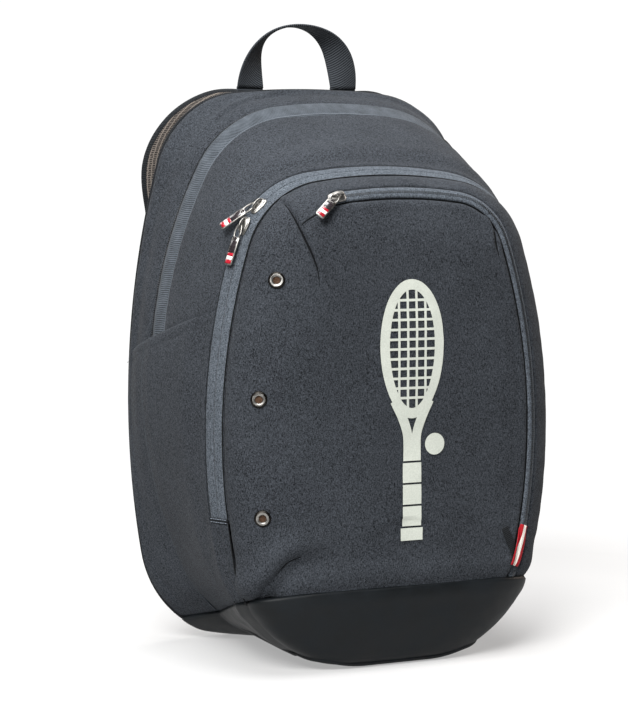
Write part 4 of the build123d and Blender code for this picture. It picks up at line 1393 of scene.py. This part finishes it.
def make_print():
    """A plain racket and ball in pale ink."""
    centre, half_x, half_z = np.array((3.0, 265.0)), 29.0, 57.0
    grids = []
    angle = np.radians(np.linspace(-90, 270, 121))
    rim = np.stack([np.cos(angle) * (1 + 0.06 * np.sin(angle)), np.sin(angle)], -1)
    inner = centre + rim * (half_x - 8.5, half_z - 8.5)
    grids.append(between_curves(inner, centre + rim * (half_x, half_z), 5))
    for x in np.arange(-12, 13, 8.0):
        reach = (half_z - 6.0) * math.sqrt(1 - (x / (half_x - 5.0)) ** 2)
        z = np.linspace(-reach, reach, 50)
        grids.append(band(np.stack([centre[0] + x + 0 * z, centre[1] + z], -1), np.full(50, 2.1)))
    for z in np.arange(-40, 41, 8.0):
        reach = (half_x - 6.0) * math.sqrt(1 - (z / (half_z - 4.0)) ** 2)
        x = np.linspace(-reach, reach, 24)
        grids.append(band(np.stack([centre[0] + x, centre[1] + z + 0 * x], -1), np.full(24, 2.1)))
    for side in (-1, 1):
        arm = curve_through([(centre[0] + side * 16.0, 223.0), (centre[0] + side * 9.0, 209.0),
                             (centre[0] + side * 4.5, 196.0), (centre[0] + side * 3.4, 184.0)], 8)
        grids.append(band(arm, np.full(len(arm), 8.5)))
    for low, high, width in ((190, 173, 16.0), (171.4, 155, 17.0), (153.4, 137, 17.0), (135.4, 119, 17.0),
                             (117.4, 107, 20.0)):
        z = np.linspace(low, high, 10)
        grids.append(band(np.stack([centre[0] + 0 * z, z], -1), np.full(10, width), 7))
    spot = np.array((24.0, 186.0))
    ball = np.radians(np.linspace(0, 360, 61))
    disc = np.stack([np.cos(ball), np.sin(ball)], -1)
    grids.append(between_curves(spot + disc * 0.02, spot + disc * 9.0, 7))
    points, faces, base = [], [], 0
    for grid in grids:
        cloth = patch(grid)
        found = grid_faces(*cloth.shape[:2])
        quad = cloth.reshape(-1, 3)[found[len(found) // 2]]
        if np.cross(quad[1] - quad[0], quad[2] - quad[0])[1] > 0:
            found = found[:, ::-1]
        points.append(cloth.reshape(-1, 3))
        faces += [tuple(f + base) for f in found]
        base += cloth.shape[0] * cloth.shape[1]
    obj = mesh_object("printed_mark", np.vstack(points), faces, [PRINT])
    settle(obj, "front_flap", "tag_cloth")


def ribbon_between(name, start, stop, width, lift, material, middle=None, sag=0.0):
    """A flat ribbon on the front panel, with a pale stripe along its middle."""
    count = 24
    share = np.linspace(0, 1, count)
    line = np.array(start)[None] + (np.array(stop) - np.array(start))[None] * share[:, None]
    arch_height = lift + sag * np.sin(math.pi * share)
    grid = band(line, np.full(count, width), 13)
    at, normal = on_front(grid[..., 0].ravel(), grid[..., 1].ravel(), 0.0)
    shape = grid.shape[:2] + (3,)
    at = at.reshape(shape) + normal.reshape(shape) * arch_height[None, :, None]
    faces = facing(at, grid_faces(*at.shape[:2]))
    slots = None
    materials = [material]
    if middle is not None:
        materials.append(middle)
        row = np.repeat(np.arange(12), count - 1)
        slots = ((row >= 4) & (row <= 7)).astype(int)
    obj = mesh_object(name, at.reshape(-1, 3), faces, materials, lay_of(at).reshape(-1, 3), slots)
    solid = obj.modifiers.new("thickness", "SOLIDIFY")
    solid.thickness = 0.9 * MM
    solid.offset = -1.0
    return obj


def make_tag():
    """Folded woven tag and the tail that holds it."""
    tail = ribbon_between("tag_tail", (93.0, 111.0), (103.5, 88.0), 6.5, 1.2, BINDING)
    settle(tail, "front_flap", "tag_cloth")
    fold = ribbon_between("tag_ribbon", (114.5, 111.0), (102.5, 78.0), 9.0, 2.0, TAG_RED, TAG_WHITE, 1.6)
    settle(fold, "front_flap", "tag_cloth", "side_tag")


# ---------------------------------------------------------------- haul loop
def make_haul_loop():
    """Twisted webbing loop: its flat side faces the back at the feet and up at the top."""
    half, middle_x, foot_z, rise, y = 45.0, -8.0, 482.0, 55.0, 99.0
    u = np.linspace(0, 1, 90)
    turn = math.pi * (1 - u)
    flare = 1 + 0.10 * np.sin(math.pi * u) ** 2
    path = np.stack([middle_x + half * np.cos(turn) * flare, np.full(90, y) + 2.0 * np.sin(2 * turn),
                     foot_z + rise * np.sin(turn) ** 0.86], -1)
    tangent = directions(path)
    flat = np.cross((0, 1, 0), tangent)
    twist = (math.pi / 2) * np.sin(turn)
    across = flat * np.cos(twist)[:, None] + np.array((0, 1, 0)) * np.sin(twist)[:, None]
    normal = np.cross(across, tangent)
    obj = sweep("haul_loop_webbing", path, flat_section(25.0, 2.0), normal, WEB)
    settle(obj, "haul_handle", "webbing", "haul_loop")
    for k, x in enumerate((middle_x - half, middle_x + half)):
        foot = [(x, Y_BACK + 4.0, 483.0), (x, Y_BACK + 4.0, 470.0), (x, Y_BACK + 4.0, 456.0),
                (x, Y_BACK + 3.9, 444.0)]
        foot = sweep(f"haul_loop_foot_{k}", curve_through(foot, 6), flat_section(25.0, 2.0), (0, 1, 0), WEB)
        settle(foot, "pack_body", "webbing", *(["haul_loop_feet"] if k == 0 else []))
        box_stitch(f"haul_foot_stitch_{k}", (x, Y_BACK + 5.1, 456.0), 19.0, 18.0, "pack_body")


def box_stitch(name, centre, width, height, body):
    """A box and cross of stitches that faces the back."""
    centre = np.array(centre, float)
    a, b = np.array((width / 2, 0.0, 0.0)), np.array((0.0, 0.0, height / 2))
    corners = [centre - a - b, centre + a - b, centre + a + b, centre - a + b]
    rows = [(corners[k], corners[(k + 1) % 4]) for k in range(4)]
    rows += [(corners[0], corners[2]), (corners[1], corners[3])]
    pieces = [stitches("row", resample(np.array(row), 1.0), (0, 1, 0), THREAD, 2.0, 2.8, 0.3) for row in rows]
    return settle(joined(name, pieces), body, "webbing")


# ---------------------------------------------------------------- shoulder straps
STRAP_PATH = [(50, 110, 452), (76, 118, 450), (98, 125, 435), (110, 130, 410), (106, 133, 374),
              (101, 133, 337), (99, 131, 300), (100, 126, 257), (104, 120, 215)]
STRAP_WIDTHS = [58, 61, 64, 66, 65, 64, 61, 54, 44]
STRAP_DEPTH = 11.0
LOCK = (105.0, 117.0, 196.0)


def make_strap(side, name):
    """Padded shoulder strap, bound at its edge, with webbing on its face."""
    path = curve_through([(side * x, y, z) for x, y, z in STRAP_PATH], 12)
    widths = np.interp(np.linspace(0, 1, len(path)), np.linspace(0, 1, len(STRAP_WIDTHS)), STRAP_WIDTHS)
    tangent = directions(path)
    across = np.cross(tangent, (0, 1, 0))
    across /= np.linalg.norm(across, axis=1, keepdims=True)
    normal = np.cross(across, tangent)
    normal[normal[:, 1] < 0] *= -1
    share = np.linspace(-1, 1, 41)
    rows = []
    for face in (1, -1):
        for s in share * face:
            reach = widths / 2 * s
            edge = widths / 2 * (1 - abs(s))
            swell = (1 - abs(s) ** 4.0) ** 0.5 * (STRAP_DEPTH / 2 - 1.6)
            swell = swell + 1.6 * (1 - ease(-edge, -1.2, 0.0) * 0.8)
            dip = 0.5 * bell(edge - 3.6, 0.7)
            rows.append(path + across * reach[:, None] + normal * (face * (swell - dip))[:, None])
    grid = np.stack(rows)
    count, length = grid.shape[:2]
    faces = grid_faces(count + 1, length) % (count * length)
    position = np.concatenate([share, -share])
    row_of = np.repeat(np.arange(count), length - 1)
    middle = (position[row_of] + position[(row_of + 1) % count]) / 2
    edge = 33.0 * (1 - np.abs(middle))
    slots = np.where(edge < 3.4, 2, np.where(row_of < 41, 0, 1))
    lay = lay_of(grid)
    for k in (0, -1):
        ends = tuple(r * length + (k % length) for r in range(count))
        faces = [tuple(f) for f in faces] + [ends]
        slots = np.append(slots, 2)
    obj = mesh_object(f"{name}_strap_cushion", grid.reshape(-1, 3), faces, [STRAP, MESH, BINDING],
                      lay.reshape(-1, 3), slots)
    tidy_normals(obj)
    settle(obj, f"{name}_strap", "strap_cloth", f"{name}_strap_pad")
    for k, edge in enumerate((-1, 1)):
        line = path + across * (widths / 2 - 8.0)[:, None] * edge + normal * (STRAP_DEPTH / 2 - 0.1)
        settle(stitches(f"{name}_strap_stitch_{k}", resample(line, 1.2), (0, 1, 0), THREAD, 2.4, 3.4, 0.28),
               f"{name}_strap", "strap_cloth")
    middle = path[14:-6] + normal[14:-6] * (STRAP_DEPTH / 2 + 0.4)
    web = sweep(f"{name}_strap_top_webbing", middle, flat_section(20.0, 1.6), normal[14:-6], WEB)
    settle(web, f"{name}_strap", "webbing")


LOCK_WEB_WIDTH = 25.0
LOCK_WEB_THICK = 1.5


def make_lock(side, name):
    """Ladder lock, its loop, the lower webbing and the anchor wing."""
    x, y, z = side * LOCK[0], LOCK[1], LOCK[2]
    body = f"{name}_strap"
    middle = np.array((x, y, z))
    posts = [((s * 14.6 - 2.6, -2.4, -12.0), (s * 14.6 + 2.6, 2.4, 12.0)) for s in (-1, 1)]
    for centre, half in ((9.9, 2.1), (0.5, 2.5), (-9.4, 2.6)):
        posts.append(((-15, -2.1, centre - half), (15, 2.1, centre + half)))
    bars = [block("bar", middle + low, middle + high, BUCKLE, 1.0) for low, high in posts]
    for k in range(5):
        low = -10.8 + k * 0.9
        bars.append(block("rib", middle + (-11, -2.6, low), middle + (11, -1.9, low + 0.4), BUCKLE, 0.1, 1))
    settle(joined(f"{name}_lock_frame", bars), body, "buckle_plastic", f"{name}_ladder_lock")
    loop = []
    for angle in np.radians(np.arange(0, 360, 15)):
        dy, dz = math.cos(angle) * 3.4, math.sin(angle) * 5.0
        loop.append((x, y + dy, z + 10.8 + dz))
    outward = np.array(loop) - (x, y, z + 10.8)
    section = flat_section(LOCK_WEB_WIDTH, LOCK_WEB_THICK)
    obj = sweep(f"{name}_lock_webbing", loop, section, outward, WEB, closed=True)
    settle(obj, body, "webbing", f"{name}_lock_loop")

    up = [(128.0, 103.0, 62.0), (124.5, 106.5, 88.0), (116.0, 110.5, 130.0), (109.0, 112.5, 160.0)]
    through = [(0, -4.0, -11.0), (0, -4.1, -4.0), (0, -4.0, 1.5), (0, -2.6, 4.2), (0, 2.6, 4.2),
               (0, 4.0, 1.5), (0, 4.2, -8.0), (0.5, 4.6, -30.0), (1.2, 4.2, -60.0), (1.4, 4.0, -84.0),
               (1.4, 4.0, -91.0)]
    path = [(side * px, py, pz) for px, py, pz in up]
    path += [(x + side * dx, y + dy, z + dz) for dx, dy, dz in through]
    path = resample(curve_through(path, 10), 1.6)
    tangent = directions(path)
    across = np.broadcast_to((1.0, 0, 0), path.shape) - tangent * (tangent @ (1.0, 0, 0))[:, None]
    across = across / np.linalg.norm(across, axis=1, keepdims=True)
    normal = np.cross(across, tangent)
    obj = sweep(f"{name}_lower_webbing", path, section, normal, WEB)
    settle(obj, body, "webbing", f"{name}_strap_webbing")

    corner = [(108, 45), (137, 54), (128, 78), (108, 70)]
    a, b, c, d = (np.array((side * px, Y_BACK + 2.6, pz)) for px, pz in corner)
    u, v = np.meshgrid(np.linspace(0, 1, 16), np.linspace(0, 1, 14))
    u, v = u[..., None], v[..., None]
    wing = a * (1 - u) * (1 - v) + b * u * (1 - v) + c * u * v + d * (1 - u) * v
    obj = skin(f"{name}_anchor_wing", wing, STRAP, STRAP, 2.0)
    settle(obj, "pack_body", "strap_cloth", f"{name}_strap_anchor")
    edge = resample(np.array([a, b, c, d, a]), 1.0)
    middle = (a + b + c + d) / 4
    edge = middle + (edge - middle) * 0.86 + (0, 0.25, 0)
    row = stitches(f"{name}_anchor_stitch", edge, (0, 1, 0), THREAD, 2.2, 3.0, 0.28)
    settle(row, "pack_body", "strap_cloth")


# ---------------------------------------------------------------- back of the pack
def make_back():
    """Back panel and the piping in its seam."""
    cols = 300
    t = np.linspace(-1, 1, cols)
    rows = []
    for y, inset in ((Y_SEAM + 0.1, 0.2), (93.3, 0.0), (94.6, 0.7), (95.5, 1.8), (Y_BACK, 4.0)):
        x, z = outline(BACK, t, inset, inset)
        rows.append(np.stack([x, np.full(cols, y), z], -1))
    rim = rows[-1]
    anchor = np.array((0.0, Y_BACK, 215.0))
    for size in np.linspace(1, 0.0005, 60)[1:]:
        rows.append(anchor + (rim - anchor) * size)
    grid = np.stack(rows)
    flat = ease(edge_distance(grid, True, False), 6.0, 16.0)
    grid[..., 1] += flat * (0.5 * soft_noise(grid, 90.0, 41) - 0.3)
    obj = skin("back_panel_cloth", grid, BACKING, LINING, 2.0)
    settle(obj, "pack_body", "back_cloth", "back_panel")
    x, z = outline(BACK, t, 0.0, 0.0)
    line = np.stack([x, np.full(cols, Y_SEAM + 0.6), z], -1)
    keep = z > 16.0
    line = resample(line[keep], 2.2)
    piping = sweep("back_seam_piping", line, circle(1.5, 8), (0, 1, 0), BINDING)
    settle(piping, "pack_body", "binding")


def make_pad(name, node, low, high, height, grooves=(), power=5.0):
    """A quilted foam pad on the back panel, bound with tape at its edge."""
    low, high = np.array(low), np.array(high)
    middle, half = (low + high) / 2, (high - low) / 2
    angle = np.radians(np.linspace(0, 360, 121))[:-1]
    ring = np.stack([np.sign(np.cos(angle)) * np.abs(np.cos(angle)) ** (2 / power),
                     np.sign(np.sin(angle)) * np.abs(np.sin(angle)) ** (2 / power)], -1)
    radii = np.concatenate([np.linspace(0.01, 0.8, 30), np.linspace(0.82, 1.0, 22)])
    rows = []
    for radius in radii:
        at = middle + ring * half * radius
        edge = half.min() * (1 - radius)
        swell = height * (1 - (1 - np.clip(edge / (height * 1.6), 0, 1)) ** 2) ** 0.5
        y = np.full(len(angle), Y_BACK + 0.2 + swell)
        for z in grooves:
            y -= 2.6 * bell(at[:, 1] - z, 2.6) * min(1.0, edge / 5.0)
        y -= 0.9 * bell(edge - 6.0, 1.2)
        rows.append(np.stack([at[:, 0], y, at[:, 1]], -1))
    grid = np.stack(rows)
    count, sides = grid.shape[:2]
    faces = grid_faces(count, sides, True)
    row = np.repeat(np.arange(count - 1), sides)
    slots = (half.min() * (1 - radii[row]) < 5.8).astype(int)
    lay = np.stack([grid[..., 0], grid[..., 2], 0 * grid[..., 0]], -1)
    obj = mesh_object(name, grid.reshape(-1, 3), faces, [MESH, BINDING], lay.reshape(-1, 3), slots)
    quads = grid.reshape(-1, 3)[faces[len(faces) // 2]]
    if np.cross(quads[1] - quads[0], quads[2] - quads[0])[1] < 0:
        obj.data.flip_normals()
    settle(obj, "pack_body", "air_mesh", node)
    return obj


def make_yoke():
    """Cloth band over the straps' upper ends."""
    x = np.linspace(-80, 80, 60)
    z = np.linspace(428.0, 466.0, 16)
    grid = np.stack([np.stack([x, np.full(60, Y_BACK + 2.4), np.full(60, h)], -1) for h in z])
    bend = rolled(np.minimum(np.abs(grid[..., 2] - 428.0), np.abs(grid[..., 2] - 466.0)), 1.6)
    grid[..., 1] -= bend
    settle(skin("yoke_cloth", grid, STRAP, STRAP, 1.6), "pack_body", "strap_cloth", "strap_yoke")
    for k, height in enumerate((431.0, 463.0)):
        line = resample(np.stack([x, np.full(60, Y_BACK + 2.5), np.full(60, height)], -1), 1.2)
        row = stitches(f"yoke_stitch_{k}", line, (0, 1, 0), THREAD, 2.4, 3.2, 0.28)
        settle(row, "pack_body", "strap_cloth")


# ---------------------------------------------------------------- inside
def divider(name, node, shape, inset, body, bow):
    """A cloth wall across the inside of the pack."""
    low, high = low_high(node)
    y = (low[1] + high[1]) / 2
    cols = 160
    t = np.linspace(-1, 1, cols)
    x, z = outline(shape, t, inset, inset)
    rim = np.stack([x, np.full(cols, y), np.maximum(z, 3.0)], -1)
    anchor = np.array((0.0, y, 215.0))
    rows = [anchor + (rim - anchor) * size for size in np.linspace(1, 0.02, 30)]
    grid = np.stack(rows)
    share = np.linspace(1, 0.02, 30)[:, None]
    grid[..., 1] += bow * (1 - share ** 2) * 0.4 * soft_noise(grid, 130.0, 51)
    return settle(skin(name, grid, LINING, LINING, 1.0), body, "lining", node)


def flat_pocket(name, node, forward, body, thick, splits=()):
    """A flat open-topped pocket sheet with a bound top edge."""
    box_low, box_high = low_high(node)
    x_half, low, high = box_high[0], box_low[2], box_high[2] - 4.0
    y = (box_low[1] + box_high[1]) / 2 + forward
    x = np.linspace(-x_half, x_half, 70)
    z = np.linspace(low, high, 50)
    grid = np.stack([np.stack([x, np.full(70, y), np.full(70, h)], -1) for h in z])
    edge = np.minimum(x_half - np.abs(grid[..., 0]), grid[..., 2] - low)
    grid[..., 1] += rolled(np.clip(edge, 0, None), 2.5) * 0.8 + 0.35 * soft_noise(grid, 80.0, 61)
    for x0 in splits:
        grid[..., 1] += 1.0 * bell(grid[..., 0] - x0, 1.5)
    settle(skin(name, grid, LINING, LINING, thick), body, "lining", node)
    line = np.stack([x, np.full(70, y - 0.1), np.full(70, high)], -1)
    bound = sweep(f"{name}_binding", line, flat_section(12.0, thick + 1.4), (0, 1, 0), BINDING)
    settle(bound, body, "binding")
    pieces = []
    for x0 in (*splits, -x_half + 3, x_half - 3):
        row = resample(np.array([(x0, y - 0.9, low), (x0, y - 0.9, high - 6)]), 1.2)
        pieces.append(stitches("row", row, (0, -1, 0), THREAD, 2.2, 3.2, 0.26))
    settle(joined(f"{name}_stitches", pieces), body, "lining")


def make_inside():
    """Dividers and pockets inside the pack, and the base board."""
    divider("racket_divider_cloth", "racket_divider", ZIP, 4.0, "pack_body", 2.0)
    divider("front_divider_cloth", "front_divider", POCKET, 1.8, "main_front", 1.0)
    flat_pocket("laptop_sleeve_cloth", "laptop_sleeve", 0.5, "pack_body", 3.0)
    flat_pocket("organizer_cloth", "organizer_pocket", 0.0, "main_front", 1.2, (-30.0, 30.0))
    board = frame["nodes"]["base_board"]
    board.data.materials.clear()
    board.data.materials.append(BUCKLE)


# ---------------------------------------------------------------- camera, light and floor
def make_stage():
    """Pale floor that fades into a white background, and soft studio light."""
    floor_mesh = bpy.data.meshes.new("floor")
    size = 0.9
    corners = [(-size, -size, 0), (size, -size, 0), (size, size, 0), (-size, size, 0)]
    floor_mesh.from_pydata(corners, [], [(0, 1, 2, 3)])
    floor = bpy.data.objects.new("floor", floor_mesh)
    bpy.context.scene.collection.objects.link(floor)
    paint = Paint("pale_floor", 0.9, specular=0.1)
    at = paint.place()
    far = paint.add("VectorMath", {0: at}, "Value", operation="LENGTH")
    near = paint.ramp(far, (0.55, 1.0), (0.86, 0.0))
    paper = paint.ramp(paint.noise(at, 300.0), (0.3, 0.300), (0.7, 0.328))
    floor_mesh.materials.append(paint.finish(paint.math("MULTIPLY", paper, near)))
    glow = paint.math("SUBTRACT", 1.05, paint.math("MULTIPLY", near, 0.67))
    paint.tree.links.new(glow, paint.shader.inputs["Emission Strength"])
    paint.shader.inputs["Emission Color"].default_value = (1, 1, 1, 1)

    world = bpy.data.worlds.new("studio")
    world.use_nodes = True
    tree = world.node_tree
    background = tree.nodes["Background"]
    seen = tree.nodes.new("ShaderNodeBackground")
    seen.inputs["Color"].default_value = (1, 1, 1, 1)
    seen.inputs["Strength"].default_value = 1.05
    background.inputs["Color"].default_value = (0.95, 0.98, 1.0, 1)
    background.inputs["Strength"].default_value = 0.08
    choose = tree.nodes.new("ShaderNodeMixShader")
    rays = tree.nodes.new("ShaderNodeLightPath")
    tree.links.new(rays.outputs["Is Camera Ray"], choose.inputs[0])
    tree.links.new(background.outputs[0], choose.inputs[1])
    tree.links.new(seen.outputs[0], choose.inputs[2])
    tree.links.new(choose.outputs[0], tree.nodes["World Output"].inputs["Surface"])
    bpy.context.scene.world = world
    bpy.context.scene.view_settings.view_transform = "Standard"

    for name, place, aim, size, power, colour in (
            ("key_light", (-1.36, -1.45, 1.8), (0, 0, 0.28), 1.2, 116.0, (1.0, 0.99, 0.98)),
            ("top_light", (-0.1, -0.1, 2.4), (0, 0, 0.3), 1.5, 84.0, (1.0, 1.0, 1.0)),
            ("rim_light", (1.9, 0.4, 0.9), (0, 0, 0.3), 1.0, 15.0, (1.0, 0.82, 0.70)),
            ("back_light", (-0.4, 2.4, 1.2), (0, 0, 0.3), 1.4, 22.0, (1.0, 1.0, 1.0))):
        lamp = bpy.data.lights.new(name, "AREA")
        lamp.size = size
        lamp.energy = power
        lamp.color = colour
        obj = bpy.data.objects.new(name, lamp)
        obj.location = place
        obj.rotation_euler = (Vector(aim) - Vector(place)).to_track_quat("-Z", "Y").to_euler()
        bpy.context.scene.collection.objects.link(obj)


def make_camera():
    """Camera that was fitted to the object's outline in the photograph."""
    azimuth, elevation, distance = math.radians(-26.0), math.radians(5.0), 2.0
    target = Vector((0.0, 0.0, 0.24))
    level = math.cos(elevation)
    back = Vector((math.sin(azimuth) * level, -math.cos(azimuth) * level, math.sin(elevation)))
    camera = bpy.data.cameras.new("camera")
    camera.sensor_width = 36.0
    camera.lens = 117.1
    camera.shift_x = -0.056
    camera.shift_y = 0.015
    obj = bpy.data.objects.new("camera", camera)
    obj.location = target + back * distance
    obj.rotation_euler = (-back).to_track_quat("-Z", "Y").to_euler()
    bpy.context.scene.collection.objects.link(obj)
    bpy.context.scene.camera = obj


# ---------------------------------------------------------------- everything in place
make_rear_gusset()
make_main_gusset()
make_main_zip()
make_pocket_zip()
make_pocket_binding()
make_front_panel()
make_small_zip()
make_seams()
make_boot()
make_base_piping()
for side, name in ((-1, "left"), (1, "right")):
    make_lower_side(side, name)
    make_side_pocket(side, name)
    make_strap(side, name)
    make_lock(side, name)
    x0, x1 = sorted((side * 20.0, side * 92.0))
    make_pad(f"{name}_back_cushion", f"{name}_back_pad", (x0, 160.0), (x1, 410.0), 7.6, (222.0, 285.0, 348.0))
make_pad("lumbar_cushion", "lumbar_pad", (-95.0, 62.0), (95.0, 148.0), 8.6)
for name in ("front_slider_upper", "front_slider_lower", "pocket_slider",
             "main_slider_upper", "main_slider_lower"):
    make_zip_pull(name, f"{name}_run", f"{name.replace('slider', 'pull')}_swing")
make_eyelet_rings()
make_print()
make_tag()
make_haul_loop()
make_back()
make_yoke()
make_inside()
make_stage()
make_camera()

bpy.context.view_layer.update()
